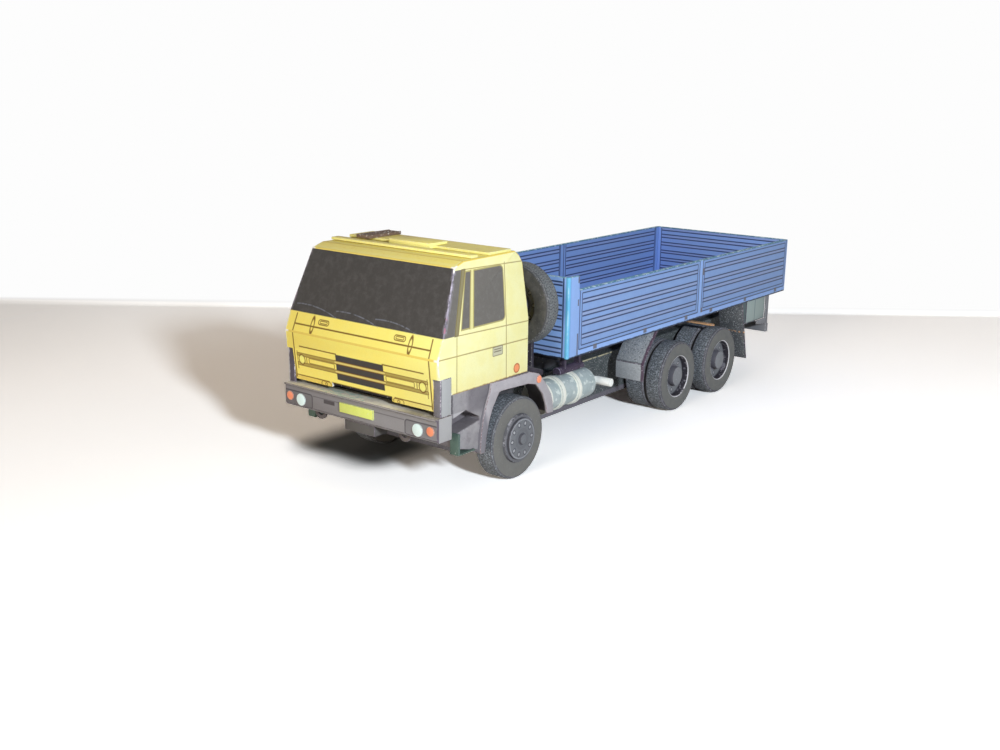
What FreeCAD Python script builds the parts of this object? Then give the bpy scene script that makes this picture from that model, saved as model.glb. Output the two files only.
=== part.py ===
import FreeCAD, Part
import math
import os

# Folded card model of a three axle, forward control dropside truck, 1:100.
# Millimetres. +Z is up, the truck faces -Y and its left side is at +X.
# All places are first measured from the front axle (y = 0), the ground (z = 0)
# and the middle plane (x = 0), and are moved to the middle of the length at export.

Vec = FreeCAD.Vector

# Card and glue. cut_past is how far a cut runs past an open edge.
card = 0.3
seat_gap = 0.02
print_sink = 0.06
bore_clearance = 0.05
cut_past = 2.0

# Wheels and axles
tyre_radius = 5.15
tyre_width = 2.65
tyre_bevel = 0.22
inner_tyre_width = 3.1
twin_gap = 0.3
rim_radius = 3.0
rim_recess = 1.0
drum_radius = 1.43
drum_inset = 0.1
front_face_inset = 0.37
rear_face_inset = 0.33
front_ring_proud = 0.3
front_hub_radius = 2.6
front_hub_proud = 0.6
hub_cap_radius = 0.65
hub_cap_proud = 0.85
rod_radius = 0.6
rod_embed = 1.2
sleeve_wall = 0.45
wheel_side_gap = 0.33
rear_axle_1 = 38.82
tandem_spacing = 13.15

# Chassis
chassis_beside_wheels = 0.52
chassis_below_axle = 2.08
chassis_height = 6.33
chassis_rear_inset = 5.85
chassis_nose_length = 4.28
chassis_belly_start = 4.5
chassis_belly_end = 5.03
chassis_tail_height = 2.3
bearer_inset = 1.4
bearer_width = 0.8
cross_bearer_depth = 0.96
cross_bearer_thick = 0.6
cross_bearer_inset = 2.9
cross_bearer_count = 6
cross_bearer_start = 2.19
cross_bearer_pitch = 11.2
support_front_gap = 0.58
support_past_cab = 1.73

# Cab. Heights count up from the floor, each from the one before it.
cab_half = 12.35
cab_side_lean = 1.0
cab_over_guard = 0.05
cab_rear = 1.27
cab_crease_y = -15.23
cab_crease_rise = 4.3
panel_foot_drop = 1.75
panel_foot_rake = 0.65
sill_rise = 2.3
screen_foot_rise = 0.15
screen_foot_rake = 1.0
screen_height = 7.3
screen_rake = 2.95
roof_lip = 1.65
roof_lip_rise = 0.55
roof_rise = 0.1
roof_rear_fall = ((-1.5, 0), (-0.75, 0.55), (-0.24, 1.45))
roof_rib_height = 0.32
roof_rib_inset = 0.15
roof_rib_first = 3.1
roof_rib_second = 6.2
roof_rib_lengths = (1.2, 4.2)
roof_pad_half = 3.3
roof_pad_centre = -0.35
roof_pad_ahead = 0.8
roof_pad_length = 3.2
roof_pad_proud = 0.3
roof_vent_half = 1.05
roof_vent_centre = -7.55
roof_vent_start = 1.75
roof_vent_length = 5.8
roof_vent_height = 0.4
roof_vent_slats = 9

# Printed windows and grille, let in by print_sink. The window outlines are (y, height above
# the sill) at the foot and (y, depth below the screen's head) at the top.
screen_wrap_foot = 1.83
screen_wrap_head = 1.15
side_window_foot = ((-8.96, 0.5), (-3.24, 0.55))
side_window_head = ((-2.85, 0.8), (-7.9, 0.7))
side_window_corner = 0.55
quarter_window_foot = ((-11.12, 0.6), (-9.76, 0.6))
quarter_window_head = ((-8.66, 0.7), (-9.5, 0.95))
grille_half = 3.88
grille_drop = 1.77
grille_height = 3.21
grille_bar = 0.42
grille_bars = 2
panel_notch_half = 4.9
panel_notch_rise = 0.55

# Corner covers
cover_width = 1.07
cover_length = 1.98
cover_height = 4.35

# Bumper and what it carries. Places across the truck count from the bumper's ends.
bumper_past_cab = 0.05
bumper_proud = 0.2
bumper_depth = 2.55
bumper_under_panel = 0.5
bumper_height = 2.9
lip_proud = 0.2
lip_height = 0.25
bumper_foot_rise = 0.35
disc_thick = 0.1
headlamp_radius = 0.66
headlamp_inset = 2.87
indicator_radius = 0.45
indicator_inset = 0.95
lamp_rise = 1.15
plate_half = 2.75
plate_rise = 0.95
plate_height = 1.2
plate_thick = 0.2
tow_eye_x = 6.9
tow_eye_radius = 0.95
coupling_half = 2.45
coupling_drop = 1.25

# Front mudguards, outer edge and wheel opening in (y, height above the axle)
guard_outer = (
    (-7.7, 0), (-7.76, 0.51), (-7.6, 2.3), (-7.25, 4.2), (-6.7, 5.7), (-6.08, 7.07), (-5.84, 8.15),
    (1.84, 8.02), (3.61, 7.45), (5.0, 6.0), (6.24, 4.32), (6.62, 3.2), (6.78, 1.85))
guard_opening = (
    (-6.88, -0.05), (-6.62, 1.75), (-6.16, 3.62), (-5.44, 5.19), (-4.33, 6.7), (-3.92, 6.84),
    (1.36, 6.61), (3.0, 6.2), (4.4, 4.75), (5.1, 3.3), (5.42, 1.95))
guard_past_wheel = 0.48
guard_marker_radius = 0.5
guard_marker = (3.5, 6.78)

# Step housings and stirrups. The foot slot is in (y from the bumper's back, height above the
# bumper's foot), from its front lower corner round to its front upper one.
step_front_gap = 0.58
step_slot = ((1.2, 0.26), (5.4, 1.0), (5.3, 1.45), (2.84, 2.75), (0.58, 2.2))
step_slot_depth = 2.2
step_drop = 1.6
step_box_front = 0.85
stirrup_width = 1.25
stirrup_drop = 2.3
stirrup_length = 3.0

# Silencer, tailpipe and air tank, left side
silencer_out = 3.9
silencer_rise = 5.13
silencer_radius = 2.12
silencer_behind_guard = 0.17
silencer_front_drum = 2.9
silencer_middle_drum = 3.65
silencer_rear_drum = 4.25
silencer_waist = 0.12
band_proud = 0.14
band_width = 0.75
bracket_width = 0.7
pipe_radius = 0.56
pipe_bend = 1.4
pipe_turn = 90
pipe_lead = 0.5
pipe_length = 4.5
air_tank_rise = 2.5
air_tank_radius = 0.62
air_tank_back = 4.45
air_tank_length = 5.5
air_tank_straps = (1.2, 4.5)
strap_width = 0.4

# Fuel tank, right side
fuel_tank_width = 6.0
fuel_tank_front = 8.3
fuel_tank_length = 15.5
fuel_tank_rise = 1.43
fuel_tank_height = 5.5
fuel_tank_corner = 0.9

# Rear mudguard plates, flaps and stays. The plate's line is (y from the first rear axle,
# drop below the bed), the flap's is the same from the second one.
rear_guard_inset = 0.2
rear_guard_width = 4.5
rear_guard_line = ((-6.85, 0), (-9.15, 2.46), (-10.45, 4.36), (-10.35, 6.86))
flap_width = 4.35
flap_line = ((6.2, 0), (7.5, 4.96), (8.7, 9.46))
stay_behind_axle = 9.78
stay_drop = 2.16
stay_width = 0.6

# Load bed
bed_half = 12.5
bed_front = 9.31
bed_length = 63.84
bed_over_wheels = 2.96
floor_thick = 0.5
board_thick = 0.55
board_height = 8.64
head_height = 10.44
post_length = 2.46
mid_post_back = 34.22
mid_post_width = 1.1
board_rib_count = 4
board_rib_width = 0.45
board_rib_drop = 1.2
board_rib_pitch = 1.55
head_rib_count = 7
head_rib_drop = 0.48
head_rib_foot = 0.9
board_frame = 0.75
panel_margin = 0.55

# Spare wheel
spare_x = 7.6
spare_rise = 7.14
spare_front_gap = 3.4
spare_width = 2.4
carrier_inner = 2.0
carrier_front_gap = 3.13
carrier_clear = 0.3
carrier_post_half = 1.0
carrier_post_thick = 0.5

# Rear box, lamp bracket and underrun beam
rear_box_inset = 0.5
rear_box_width = 2.0
rear_box_behind_axle = 8.43
rear_box_height = 3.76
beam_inset = 0.2
beam_height = 1.4
beam_thick = 0.9
lamp_post_width = 0.9
gusset_length = 3.0
gusset_rise = 0.4
rear_lamp_width = 3.45
rear_lamp_margin = 0.25

# Heights and places that follow from the sizes above
axle_z = tyre_radius
guard_top = axle_z + max(height for y, height in guard_outer)
cab_floor_z = guard_top + cab_over_guard
cab_crease_z = cab_floor_z + cab_crease_rise
sill_z = cab_crease_z + sill_rise
screen_foot_z = sill_z + screen_foot_rise
screen_head_z = screen_foot_z + screen_height
roof_lip_z = screen_head_z + roof_lip_rise
roof_z = roof_lip_z + roof_rise
panel_foot_z = cab_floor_z - panel_foot_drop
cab_head_half = cab_half - cab_side_lean
bumper_top = panel_foot_z - bumper_under_panel
bumper_bottom = bumper_top - bumper_height
bumper_front = cab_crease_y - bumper_proud
bumper_half = cab_half + bumper_past_cab
lamp_z = bumper_bottom + lamp_rise
cover_top = bumper_top + cover_height
chassis_bottom = axle_z - chassis_below_axle
chassis_top = chassis_bottom + chassis_height
chassis_front = bumper_front + bumper_depth
bed_bottom = axle_z + tyre_radius + bed_over_wheels
bed_rear = bed_front + bed_length
bed_floor_top = bed_bottom + floor_thick
side_top = bed_bottom + board_height
head_top = bed_bottom + head_height
chassis_rear = bed_rear - chassis_rear_inset
chassis_tail_z = chassis_top - chassis_tail_height
rear_axle_2 = rear_axle_1 + tandem_spacing
front_face = bumper_half - front_face_inset
rear_face = bed_half - rear_face_inset
front_wheel_inner = front_face - tyre_width
twin_depth = tyre_width + twin_gap + inner_tyre_width
rear_wheel_inner = rear_face - twin_depth
chassis_half = rear_wheel_inner - chassis_beside_wheels
bearer_inner = chassis_half - bearer_inset - bearer_width
guard_face = bumper_half
guard_inner = front_wheel_inner - guard_past_wheel
rear_guard_face = bed_half - rear_guard_inset
rear_guard_inner = rear_guard_face - rear_guard_width
step_face = cab_half - card
beam_half = bed_half - beam_inset
silencer_x = chassis_half + silencer_out
silencer_z = chassis_bottom + silencer_rise
silencer_front = guard_outer[-1][0] + silencer_behind_guard
silencer_drums = (silencer_front_drum, silencer_middle_drum, silencer_rear_drum)
silencer_rear = silencer_front + sum(silencer_drums)
band_radius = silencer_radius + band_proud
sleeve_bore = rod_radius + bore_clearance
sleeve_radius = sleeve_bore + sleeve_wall
overall_front = bumper_front - max(plate_thick, lip_proud)
overall_rear = bed_rear
origin_shift = Vec(0, -(overall_front + overall_rear) / 2, 0)
cab_reach = 2 * (cab_half + abs(cab_crease_y) + cut_past)
SIDES = (1, -1)


# Shape helpers

def block(x, y, z):
    """Box between the two values given for each direction."""
    corner = Vec(min(x), min(y), min(z))
    return Part.makeBox(abs(x[1] - x[0]), abs(y[1] - y[0]), abs(z[1] - z[0]), corner)


def side_points(points, x=0.0):
    """Points of a side view, (y, z), in the plane at x."""
    return [Vec(x, y, z) for y, z in points]


def front_points(points, y=0.0):
    """Points of a front view, (x, z), in the plane at y."""
    return [Vec(x, y, z) for x, z in points]


def plan_points(points, z=0.0):
    """Points of a top view, (x, y), in the plane at z."""
    return [Vec(x, y, z) for x, y in points]


def prism(points, travel):
    """Solid made by moving a flat closed outline."""
    return Part.Face(Part.makePolygon(points + points[:1])).extrude(travel)


def inset(points, depth):
    """Corner points of a closed outline moved inwards by a wall's thickness."""
    count = len(points)
    centre = sum(points, Vec()) * (1.0 / count)
    moved = []
    for index, here in enumerate(points):
        before = (here - points[index - 1]).normalize()
        after = (points[(index + 1) % count] - here).normalize()
        axis = (points[1] - points[0]).cross(centre - points[0]).normalize()
        into_first = axis.cross(before)
        into_second = axis.cross(after)
        reach = depth / (1 + into_first.dot(into_second))
        moved.append(here + (into_first + into_second) * reach)
    return moved


def wall_strip(outer, inner, x):
    """Folded wall across x, between matching corners of its outer and inner lines."""
    points = [Vec(min(x), point.y, point.z) for point in outer + inner[::-1]]
    return prism(points, Vec(abs(x[1] - x[0]), 0, 0))


def open_strip(line, thickness, x):
    """Card strip that follows an open side view line, with its thickness to +Y or down."""
    back = [(y + thickness, z) for y, z in line][::-1]
    return prism(side_points(list(line) + back, min(x)), Vec(abs(x[1] - x[0]), 0, 0))


def rod(radius, start, end):
    """Round bar between two points."""
    travel = end - start
    return Part.makeCylinder(radius, travel.Length, start, travel)


def turned(profile, centre, axis):
    """Revolve of (radius, distance along the axis) points about an axis at centre."""
    outward = Vec(0, 0, 1)
    points = [centre + outward * radius + axis * reach for radius, reach in profile]
    return Part.Face(Part.makePolygon(points + points[:1])).revolve(centre, axis, 360)


def mirrored(shape):
    """The same shape on the truck's other side."""
    return shape.mirror(Vec(), Vec(1, 0, 0))


def joined(shapes):
    """Fuse shapes that touch into one clean solid."""
    shapes = list(shapes)
    return shapes[0].multiFuse(shapes[1:]).removeSplitter()


def emit(name, *shapes):
    """Write one sub-part, moved to the frame whose origin is under the middle."""
    solids = [solid for shape in shapes for solid in shape.Solids]
    for solid in solids:
        if not solid.isValid():
            raise ValueError("bad solid in " + name)
    body = solids[0] if len(solids) == 1 else Part.makeCompound(solids)
    body = body.copy()
    body.translate(origin_shift)
    body.exportStep(os.path.join("parts", name + ".step"))


# Wheels

def tyre(centre, outward, width, hole):
    """Card tyre: a wide band with bevelled shoulders, its outer face at centre."""
    shoulder = tyre_radius - tyre_bevel
    profile = (
        (hole, 0), (shoulder, 0), (tyre_radius, -tyre_bevel),
        (tyre_radius, tyre_bevel - width), (shoulder, -width), (hole, -width))
    return turned(profile, centre, outward)


def rim_bore(centre, outward, inner_reach, outer_reach):
    """Blind hole that the axle rod is glued into."""
    return rod(rod_radius + seat_gap, centre + outward * inner_reach, centre + outward * outer_reach)


def front_wheel(side):
    """Single front wheel: tyre, and a stepped hub of stacked discs that stands proud."""
    outward = Vec(side, 0, 0)
    centre = Vec(side * front_face, 0, axle_z)
    band = tyre(centre, outward, tyre_width, rim_radius + seat_gap)
    profile = (
        (0, -tyre_width), (rim_radius, -tyre_width), (rim_radius, front_ring_proud),
        (front_hub_radius, front_ring_proud), (front_hub_radius, front_hub_proud),
        (hub_cap_radius, front_hub_proud), (hub_cap_radius, hub_cap_proud), (0, hub_cap_proud))
    hub = turned(profile, centre, outward)
    hub = hub.cut(rim_bore(centre, outward, -tyre_width - card, -rod_embed))
    return band, hub


def rear_wheel(side, y):
    """Twin rear wheel: two tyres on one rim, with a deep dish and a hub drum."""
    outward = Vec(side, 0, 0)
    centre = Vec(side * rear_face, y, axle_z)
    inner_centre = centre - outward * (tyre_width + twin_gap)
    tyres = [tyre(place, outward, width, rim_radius + seat_gap)
             for place, width in ((centre, tyre_width), (inner_centre, inner_tyre_width))]
    profile = (
        (0, -twin_depth), (rim_radius, -twin_depth), (rim_radius, -rim_recess),
        (drum_radius, -rim_recess), (drum_radius, -drum_inset), (0, -drum_inset))
    rim = turned(profile, centre, outward)
    rim = rim.cut(rim_bore(centre, outward, -twin_depth - card, -rim_recess - rod_embed))
    return tyres, rim


def axle_rod(y, reach):
    """Wire that carries the wheels of one axle."""
    return rod(rod_radius, Vec(-reach, y, axle_z), Vec(reach, y, axle_z))


def axle_sleeve(y, wheel_inner):
    """Rolled card tube glued across the chassis, in which an axle rod turns."""
    half = wheel_inner - wheel_side_gap
    ends = Vec(-half, y, axle_z), Vec(half, y, axle_z)
    return rod(sleeve_radius, *ends).cut(rod(sleeve_bore, *ends))


def build_wheels():
    tyres, hubs = zip(*[front_wheel(side) for side in SIDES])
    emit("front_tyres", *tyres)
    emit("front_wheel_hubs", *hubs)
    emit("front_axle_rod", axle_rod(0, front_face - rod_embed - seat_gap))
    for number, y in ((1, rear_axle_1), (2, rear_axle_2)):
        pairs = [rear_wheel(side, y) for side in SIDES]
        emit("rear_tyres_%d" % number, *[band for tyres, rim in pairs for band in tyres])
        emit("rear_rims_%d" % number, *[rim for tyres, rim in pairs])
        reach = rear_face - rim_recess - rod_embed - seat_gap
        emit("rear_axle_rod_%d" % number, axle_rod(y, reach))
    emit("axle_sleeves", axle_sleeve(0, front_wheel_inner),
         axle_sleeve(rear_axle_1, rear_wheel_inner), axle_sleeve(rear_axle_2, rear_wheel_inner))


# Chassis

def chassis_outline():
    """Side view of the chassis, counter-clockwise seen from the left."""
    return side_points((
        (chassis_front, chassis_top), (chassis_front, bumper_bottom),
        (chassis_front + chassis_nose_length, bumper_bottom), (-chassis_belly_start, chassis_bottom),
        (rear_axle_2 + chassis_belly_end, chassis_bottom),
        (chassis_rear, chassis_tail_z), (chassis_rear, chassis_top)))


def build_chassis():
    """Long card box: sides and top in one fold, belly and ends as a folded strip."""
    outer = chassis_outline()
    inner = inset(outer, card)
    across = (-chassis_half + card, chassis_half - card)
    travel = Vec(card, 0, 0)
    left = prism([point + Vec(chassis_half - card, 0, 0) for point in outer], travel)
    top = block(across, (chassis_front, chassis_rear), (chassis_top - card, chassis_top))
    body = joined((left, mirrored(left), top))
    for y in (0, rear_axle_1, rear_axle_2):
        hole = sleeve_radius + seat_gap
        ends = Vec(-chassis_half - card, y, axle_z), Vec(chassis_half + card, y, axle_z)
        body = body.cut(rod(hole, *ends))
    base = wall_strip(outer, inner, across)
    base = base.cut(block(across, (chassis_front, chassis_rear), (chassis_top - card, chassis_top)))
    emit("chassis_box", body)
    emit("chassis_base", base)


def build_supports():
    """Box under the cab, and the long and cross bearers under the bed."""
    emit("cab_support", block(
        (-guard_inner, guard_inner), (chassis_front + support_front_gap, cab_rear + support_past_cab),
        (chassis_top, cab_floor_z)))
    bearer_top = bed_bottom - cross_bearer_depth
    left = block((bearer_inner, bearer_inner + bearer_width), (bed_front, chassis_rear),
                 (chassis_top, bearer_top))
    emit("bed_bearers", left, mirrored(left))
    crosses = []
    for index in range(cross_bearer_count):
        y = bed_front + cross_bearer_start + index * cross_bearer_pitch
        crosses.append(block((cross_bearer_inset - bed_half, bed_half - cross_bearer_inset),
                             (y, y + cross_bearer_thick), (bearer_top, bed_bottom)))
    emit("bed_cross_bearers", *crosses)


# Cab

def cab_outline():
    """Side view of the cab's skin, from the front fold at floor height, over the roof."""
    foot = cab_foot()
    share = (cab_floor_z - panel_foot_z) / (cab_crease_z - panel_foot_z)
    floor_y = foot.y + (cab_crease_y - foot.y) * share
    screen_foot = cab_crease_y + screen_foot_rake
    screen_head = screen_foot + screen_rake
    rear = [(cab_rear + y, roof_z - drop) for y, drop in roof_rear_fall]
    return side_points([
        (floor_y, cab_floor_z), (cab_crease_y, cab_crease_z), (screen_foot, screen_foot_z),
        (screen_head, screen_head_z), (screen_head + roof_lip, roof_lip_z)] + rear
        + [(cab_rear, sill_z), (cab_rear, cab_floor_z)])


def cab_foot():
    """Lowest point of the front panel, below the cab floor."""
    return Vec(0, cab_crease_y + panel_foot_rake, panel_foot_z)


def cab_front_view():
    """Front view of the cab: upright to the sill, then leaning in to the roof."""
    lean = (cab_half - cab_head_half) / (screen_head_z - sill_z)
    top_half = cab_half - lean * (roof_z - sill_z)
    return front_points((
        (cab_half, cab_floor_z), (cab_half, sill_z), (top_half, roof_z),
        (-top_half, roof_z), (-cab_half, sill_z), (-cab_half, cab_floor_z)))


def cab_block(depth):
    """The cab as a closed block, with its skin moved in by depth."""
    length = Vec(0, cab_reach, 0)
    across = Vec(cab_reach, 0, 0)
    side_view = inset(cab_outline(), depth) if depth else cab_outline()
    front_view = inset(cab_front_view(), depth) if depth else cab_front_view()
    long_block = prism([point - across * 0.5 for point in side_view], across)
    wide_block = prism([point - length * 0.5 for point in front_view], length)
    return long_block.common(wide_block)


def between_sides():
    """Everything between the inner faces of the two cab sides, past floor and roof."""
    corners = inset(cab_front_view(), card)
    sill = corners[1]
    above = sill + (corners[2] - sill) * 2
    below = Vec(sill.x, 0, 0)
    right = [Vec(-point.x, 0, point.z) for point in (above, sill, below)]
    length = Vec(0, cab_reach, 0)
    return prism([point - length * 0.5 for point in [below, sill, above] + right], length)


def rounded_prism(points, radius, x):
    """Side view window outline with its rear corners rounded, extruded across x."""
    body = prism(side_points(points, min(x)), Vec(abs(x[1] - x[0]), 0, 0))
    middle = body.CenterOfMass.y
    edges = [edge for edge in body.Edges
             if abs(edge.tangentAt(edge.FirstParameter).x) > 0.9 and edge.CenterOfMass.y > middle]
    return body.makeFillet(radius, edges)


def side_fields():
    """Printed glass on the left side, as thin fields of the skin to be let in."""
    skin = cab_block(0).cut(cab_block(print_sink))
    screen_foot = cab_crease_y + screen_foot_rake
    screen_head = screen_foot + screen_rake
    wrap = (
        (screen_foot - card, screen_foot_z + print_sink), (screen_foot + screen_wrap_foot, sill_z),
        (screen_head + screen_wrap_head, screen_head_z), (screen_head - card, screen_head_z))
    side_window, quarter_window = [
        [(y, sill_z + rise) for y, rise in foot] + [(y, screen_head_z - drop) for y, drop in head]
        for foot, head in ((side_window_foot, side_window_head), (quarter_window_foot, quarter_window_head))]
    reach = (cab_head_half - card, cab_half + card)
    travel = Vec(reach[1] - reach[0], 0, 0)
    fields = (prism(side_points(wrap, reach[0]), travel),
              prism(side_points(quarter_window, reach[0]), travel),
              rounded_prism(side_window, side_window_corner, reach))
    return [field.common(skin) for field in fields]


def front_panel_fields():
    """Windscreen and barred grille, as shallow slabs to be let into the front panel."""
    outer = cab_outline()
    shallow = inset(outer, print_sink)
    across = (-cab_half, cab_half)
    depth = (cab_crease_y - cut_past, cab_rear)
    grille_top = cab_crease_z - grille_drop
    grille_bottom = grille_top - grille_height
    screen = wall_strip(outer[2:4], shallow[2:4], across)
    grille = wall_strip([cab_foot(), outer[1]], [cab_foot() + Vec(0, print_sink, 0), shallow[1]],
                        (-grille_half, grille_half))
    clear = (grille_top - grille_bottom - grille_bars * grille_bar) / (grille_bars + 1)
    bars = [block(across, depth, (grille_top, cab_crease_z + card)),
            block(across, depth, (panel_foot_z - card, grille_bottom))]
    for index in range(grille_bars):
        z = grille_bottom + clear + index * (clear + grille_bar)
        bars.append(block(across, depth, (z, z + grille_bar)))
    return [screen, grille.cut(Part.makeCompound(bars))]


def corner_zone():
    """Space of the left corner cover, cut out of the cab's skin."""
    return block((cab_half - cover_width, cab_half + card), (cab_crease_y - card, cover_rear()),
                 (panel_foot_z - card, cover_top))


def cover_rear():
    """Rear edge of the corner covers."""
    return cab_foot().y + cover_length - card


def build_cab():
    """Cab skin of card, split at its folds, with the printed fields let in."""
    outer = cab_outline()
    inner = inset(outer, card)
    between = between_sides()
    zone = corner_zone()
    sides = cab_block(0).cut(between)
    left = max(sides.Solids, key=lambda solid: solid.CenterOfMass.x).cut(zone)
    for field in side_fields():
        left = left.cut(field)
    emit("cab_side_left", left)
    emit("cab_side_right", mirrored(left))

    wide = (-cab_half, cab_half)
    inner_foot = cab_foot() + Vec(0, card, 0)
    front = wall_strip([cab_foot()] + outer[1:5], [inner_foot] + inner[1:5], wide)
    notch = block((-panel_notch_half, panel_notch_half), (cab_crease_y - cut_past, cab_rear),
                  (panel_foot_z - card, panel_foot_z + panel_notch_rise))
    front = front.common(between).cut(notch).cut(zone).cut(mirrored(zone))
    for field in front_panel_fields():
        front = front.cut(field)
    emit("cab_front_panel", front)
    emit("cab_roof", wall_strip(outer[4:8], inner[4:8], wide).common(between))
    rear_foot = Vec(0, cab_rear - card, cab_floor_z)
    emit("cab_rear_wall", wall_strip(outer[7:], inner[7:9] + [rear_foot], wide).common(between))

    floor_top = cab_floor_z + card
    slope = (inner_foot - inner[1]) * (1 / (inner_foot.z - inner[1].z))
    front_ends = [inner[1] + slope * (z - inner[1].z) for z in (cab_floor_z, floor_top)]
    rear_ends = [Vec(0, cab_rear - card, z) for z in (floor_top, cab_floor_z)]
    half = Vec(cab_half - card, 0, 0)
    floor = prism([point - half for point in front_ends + rear_ends], half * 2)
    covers = (corner_cover(), mirrored(corner_cover()))
    emit("cab_floor", floor.cut(Part.makeCompound(covers)))
    emit("corner_covers", *covers)


def corner_cover():
    """Folded card corner over the lower front corner of the cab, left side."""
    front = cab_outline()[0].y
    rear = cover_rear()
    plan = plan_points((
        (cab_half - cover_width, front), (cab_half, front), (cab_half, rear), (cab_half - card, rear),
        (cab_half - card, front + card), (cab_half - cover_width, front + card)), bumper_top)
    return prism(plan, Vec(0, 0, cover_top - bumper_top))


def build_roof_parts():
    """Raised cross ribs, the pad on the second one and the slatted roof vent."""
    top = roof_z + roof_rib_height
    ribs = []
    screen_head = cab_crease_y + screen_foot_rake + screen_rake
    roof_rib_half = cab_head_half - roof_rib_inset
    roof_rib_fronts = (screen_head + roof_rib_first, screen_head + roof_rib_second)
    for front, length in zip(roof_rib_fronts, roof_rib_lengths):
        ribs.append(block((-roof_rib_half, roof_rib_half), (front, front + length), (roof_z, top)))
    pad_span = (roof_pad_centre - roof_pad_half, roof_pad_centre + roof_pad_half)
    pad_front = roof_rib_fronts[1] - roof_pad_ahead
    pad = block(pad_span, (pad_front, pad_front + roof_pad_length), (roof_z, top + roof_pad_proud))
    emit("roof_ribs", joined(ribs + [pad]))
    x = (roof_vent_centre - roof_vent_half, roof_vent_centre + roof_vent_half)
    roof_vent_front = roof_rib_fronts[0] + roof_vent_start
    y = (roof_vent_front, roof_vent_front + roof_vent_length)
    vent = block(x, y, (top, top + roof_vent_height))
    pitch = roof_vent_length / roof_vent_slats
    for index in range(roof_vent_slats):
        start = roof_vent_front + (index + 0.5) * pitch
        vent = vent.cut(block((x[0] + card / 2, x[1] - card / 2), (start, start + pitch / 2),
                              (top + roof_vent_height - card / 2, top + roof_vent_height + card)))
    emit("roof_vent", vent)


# Bumper

def build_bumper():
    """Folded bumper box with a proud top lip, and what is glued to it."""
    profile = side_points((
        (bumper_front, bumper_bottom + bumper_foot_rise), (bumper_front, bumper_top - lip_height),
        (bumper_front - lip_proud, bumper_top - lip_height), (bumper_front - lip_proud, bumper_top),
        (chassis_front, bumper_top), (chassis_front, bumper_bottom),
        (bumper_front + bumper_foot_rise, bumper_bottom)), -bumper_half)
    emit("bumper", prism(profile, Vec(2 * bumper_half, 0, 0)))
    forward = Vec(0, -disc_thick, 0)
    discs = []
    for radius, inset_x in ((headlamp_radius, headlamp_inset), (indicator_radius, indicator_inset)):
        start = Vec(bumper_half - inset_x, bumper_front, lamp_z)
        discs.append(rod(radius, start, start + forward))
    emit("headlamps", discs[0], mirrored(discs[0]))
    marker = Vec(guard_face, guard_marker[0], axle_z + guard_marker[1])
    discs.append(rod(guard_marker_radius, marker, marker + Vec(disc_thick, 0, 0)))
    emit("indicator_discs", *[part for disc in discs[1:] for part in (disc, mirrored(disc))])
    emit("number_plate_blank", block(
        (-plate_half, plate_half), (bumper_front - plate_thick, bumper_front),
        (bumper_bottom + plate_rise, bumper_bottom + plate_rise + plate_height)))
    eye_back = bumper_front + bumper_foot_rise + card
    eye = rod(tow_eye_radius, Vec(tow_eye_x, eye_back, bumper_bottom),
              Vec(tow_eye_x, eye_back + card, bumper_bottom))
    eye = eye.cut(block((0, bumper_half), (bumper_front, 0), (bumper_bottom, bumper_top)))
    eye = eye.cut(rod(tow_eye_radius / 2, Vec(tow_eye_x, eye_back - card, bumper_bottom),
                      Vec(tow_eye_x, eye_back + 2 * card, bumper_bottom)))
    emit("tow_eyes", eye, mirrored(eye))
    emit("coupling_box", block(
        (-coupling_half, coupling_half), (eye_back - card, chassis_front),
        (bumper_bottom - coupling_drop, bumper_bottom)))


# Front mudguards, step housings and stirrups

def guard_outer_line():
    """Outer edge of the front mudguard."""
    return side_points([(y, axle_z + height) for y, height in guard_outer])


def guard_fold_line(depth):
    """The mudguard's outer edge moved in by depth."""
    points = guard_outer_line()
    moved = []
    for index, here in enumerate(points):
        before = here - points[index - 1] if index else points[1] - here
        after = points[index + 1] - here if index + 1 < len(points) else before
        first = Vec(1, 0, 0).cross(before.normalize())
        second = Vec(1, 0, 0).cross(after.normalize())
        moved.append(here - (first + second) * (depth / (1 + first.dot(second))))
    return moved


def guard_ring(outer, inner, x):
    """Arch shaped solid between two open lines."""
    points = [Vec(min(x), point.y, point.z) for point in outer + inner[::-1]]
    return prism(points, Vec(abs(x[1] - x[0]), 0, 0))


def build_front_guards():
    """Folded arch over each front wheel: a flat face band and a strip behind it."""
    outer = guard_outer_line()
    opening = side_points([(y, axle_z + height) for y, height in guard_opening])
    face = guard_ring(outer, opening, (guard_face - card, guard_face))
    cover = guard_ring(outer, guard_fold_line(card), (guard_inner, guard_face - card))
    left = joined((face, cover))
    emit("front_guard_left", left)
    emit("front_guard_right", mirrored(left))


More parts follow.
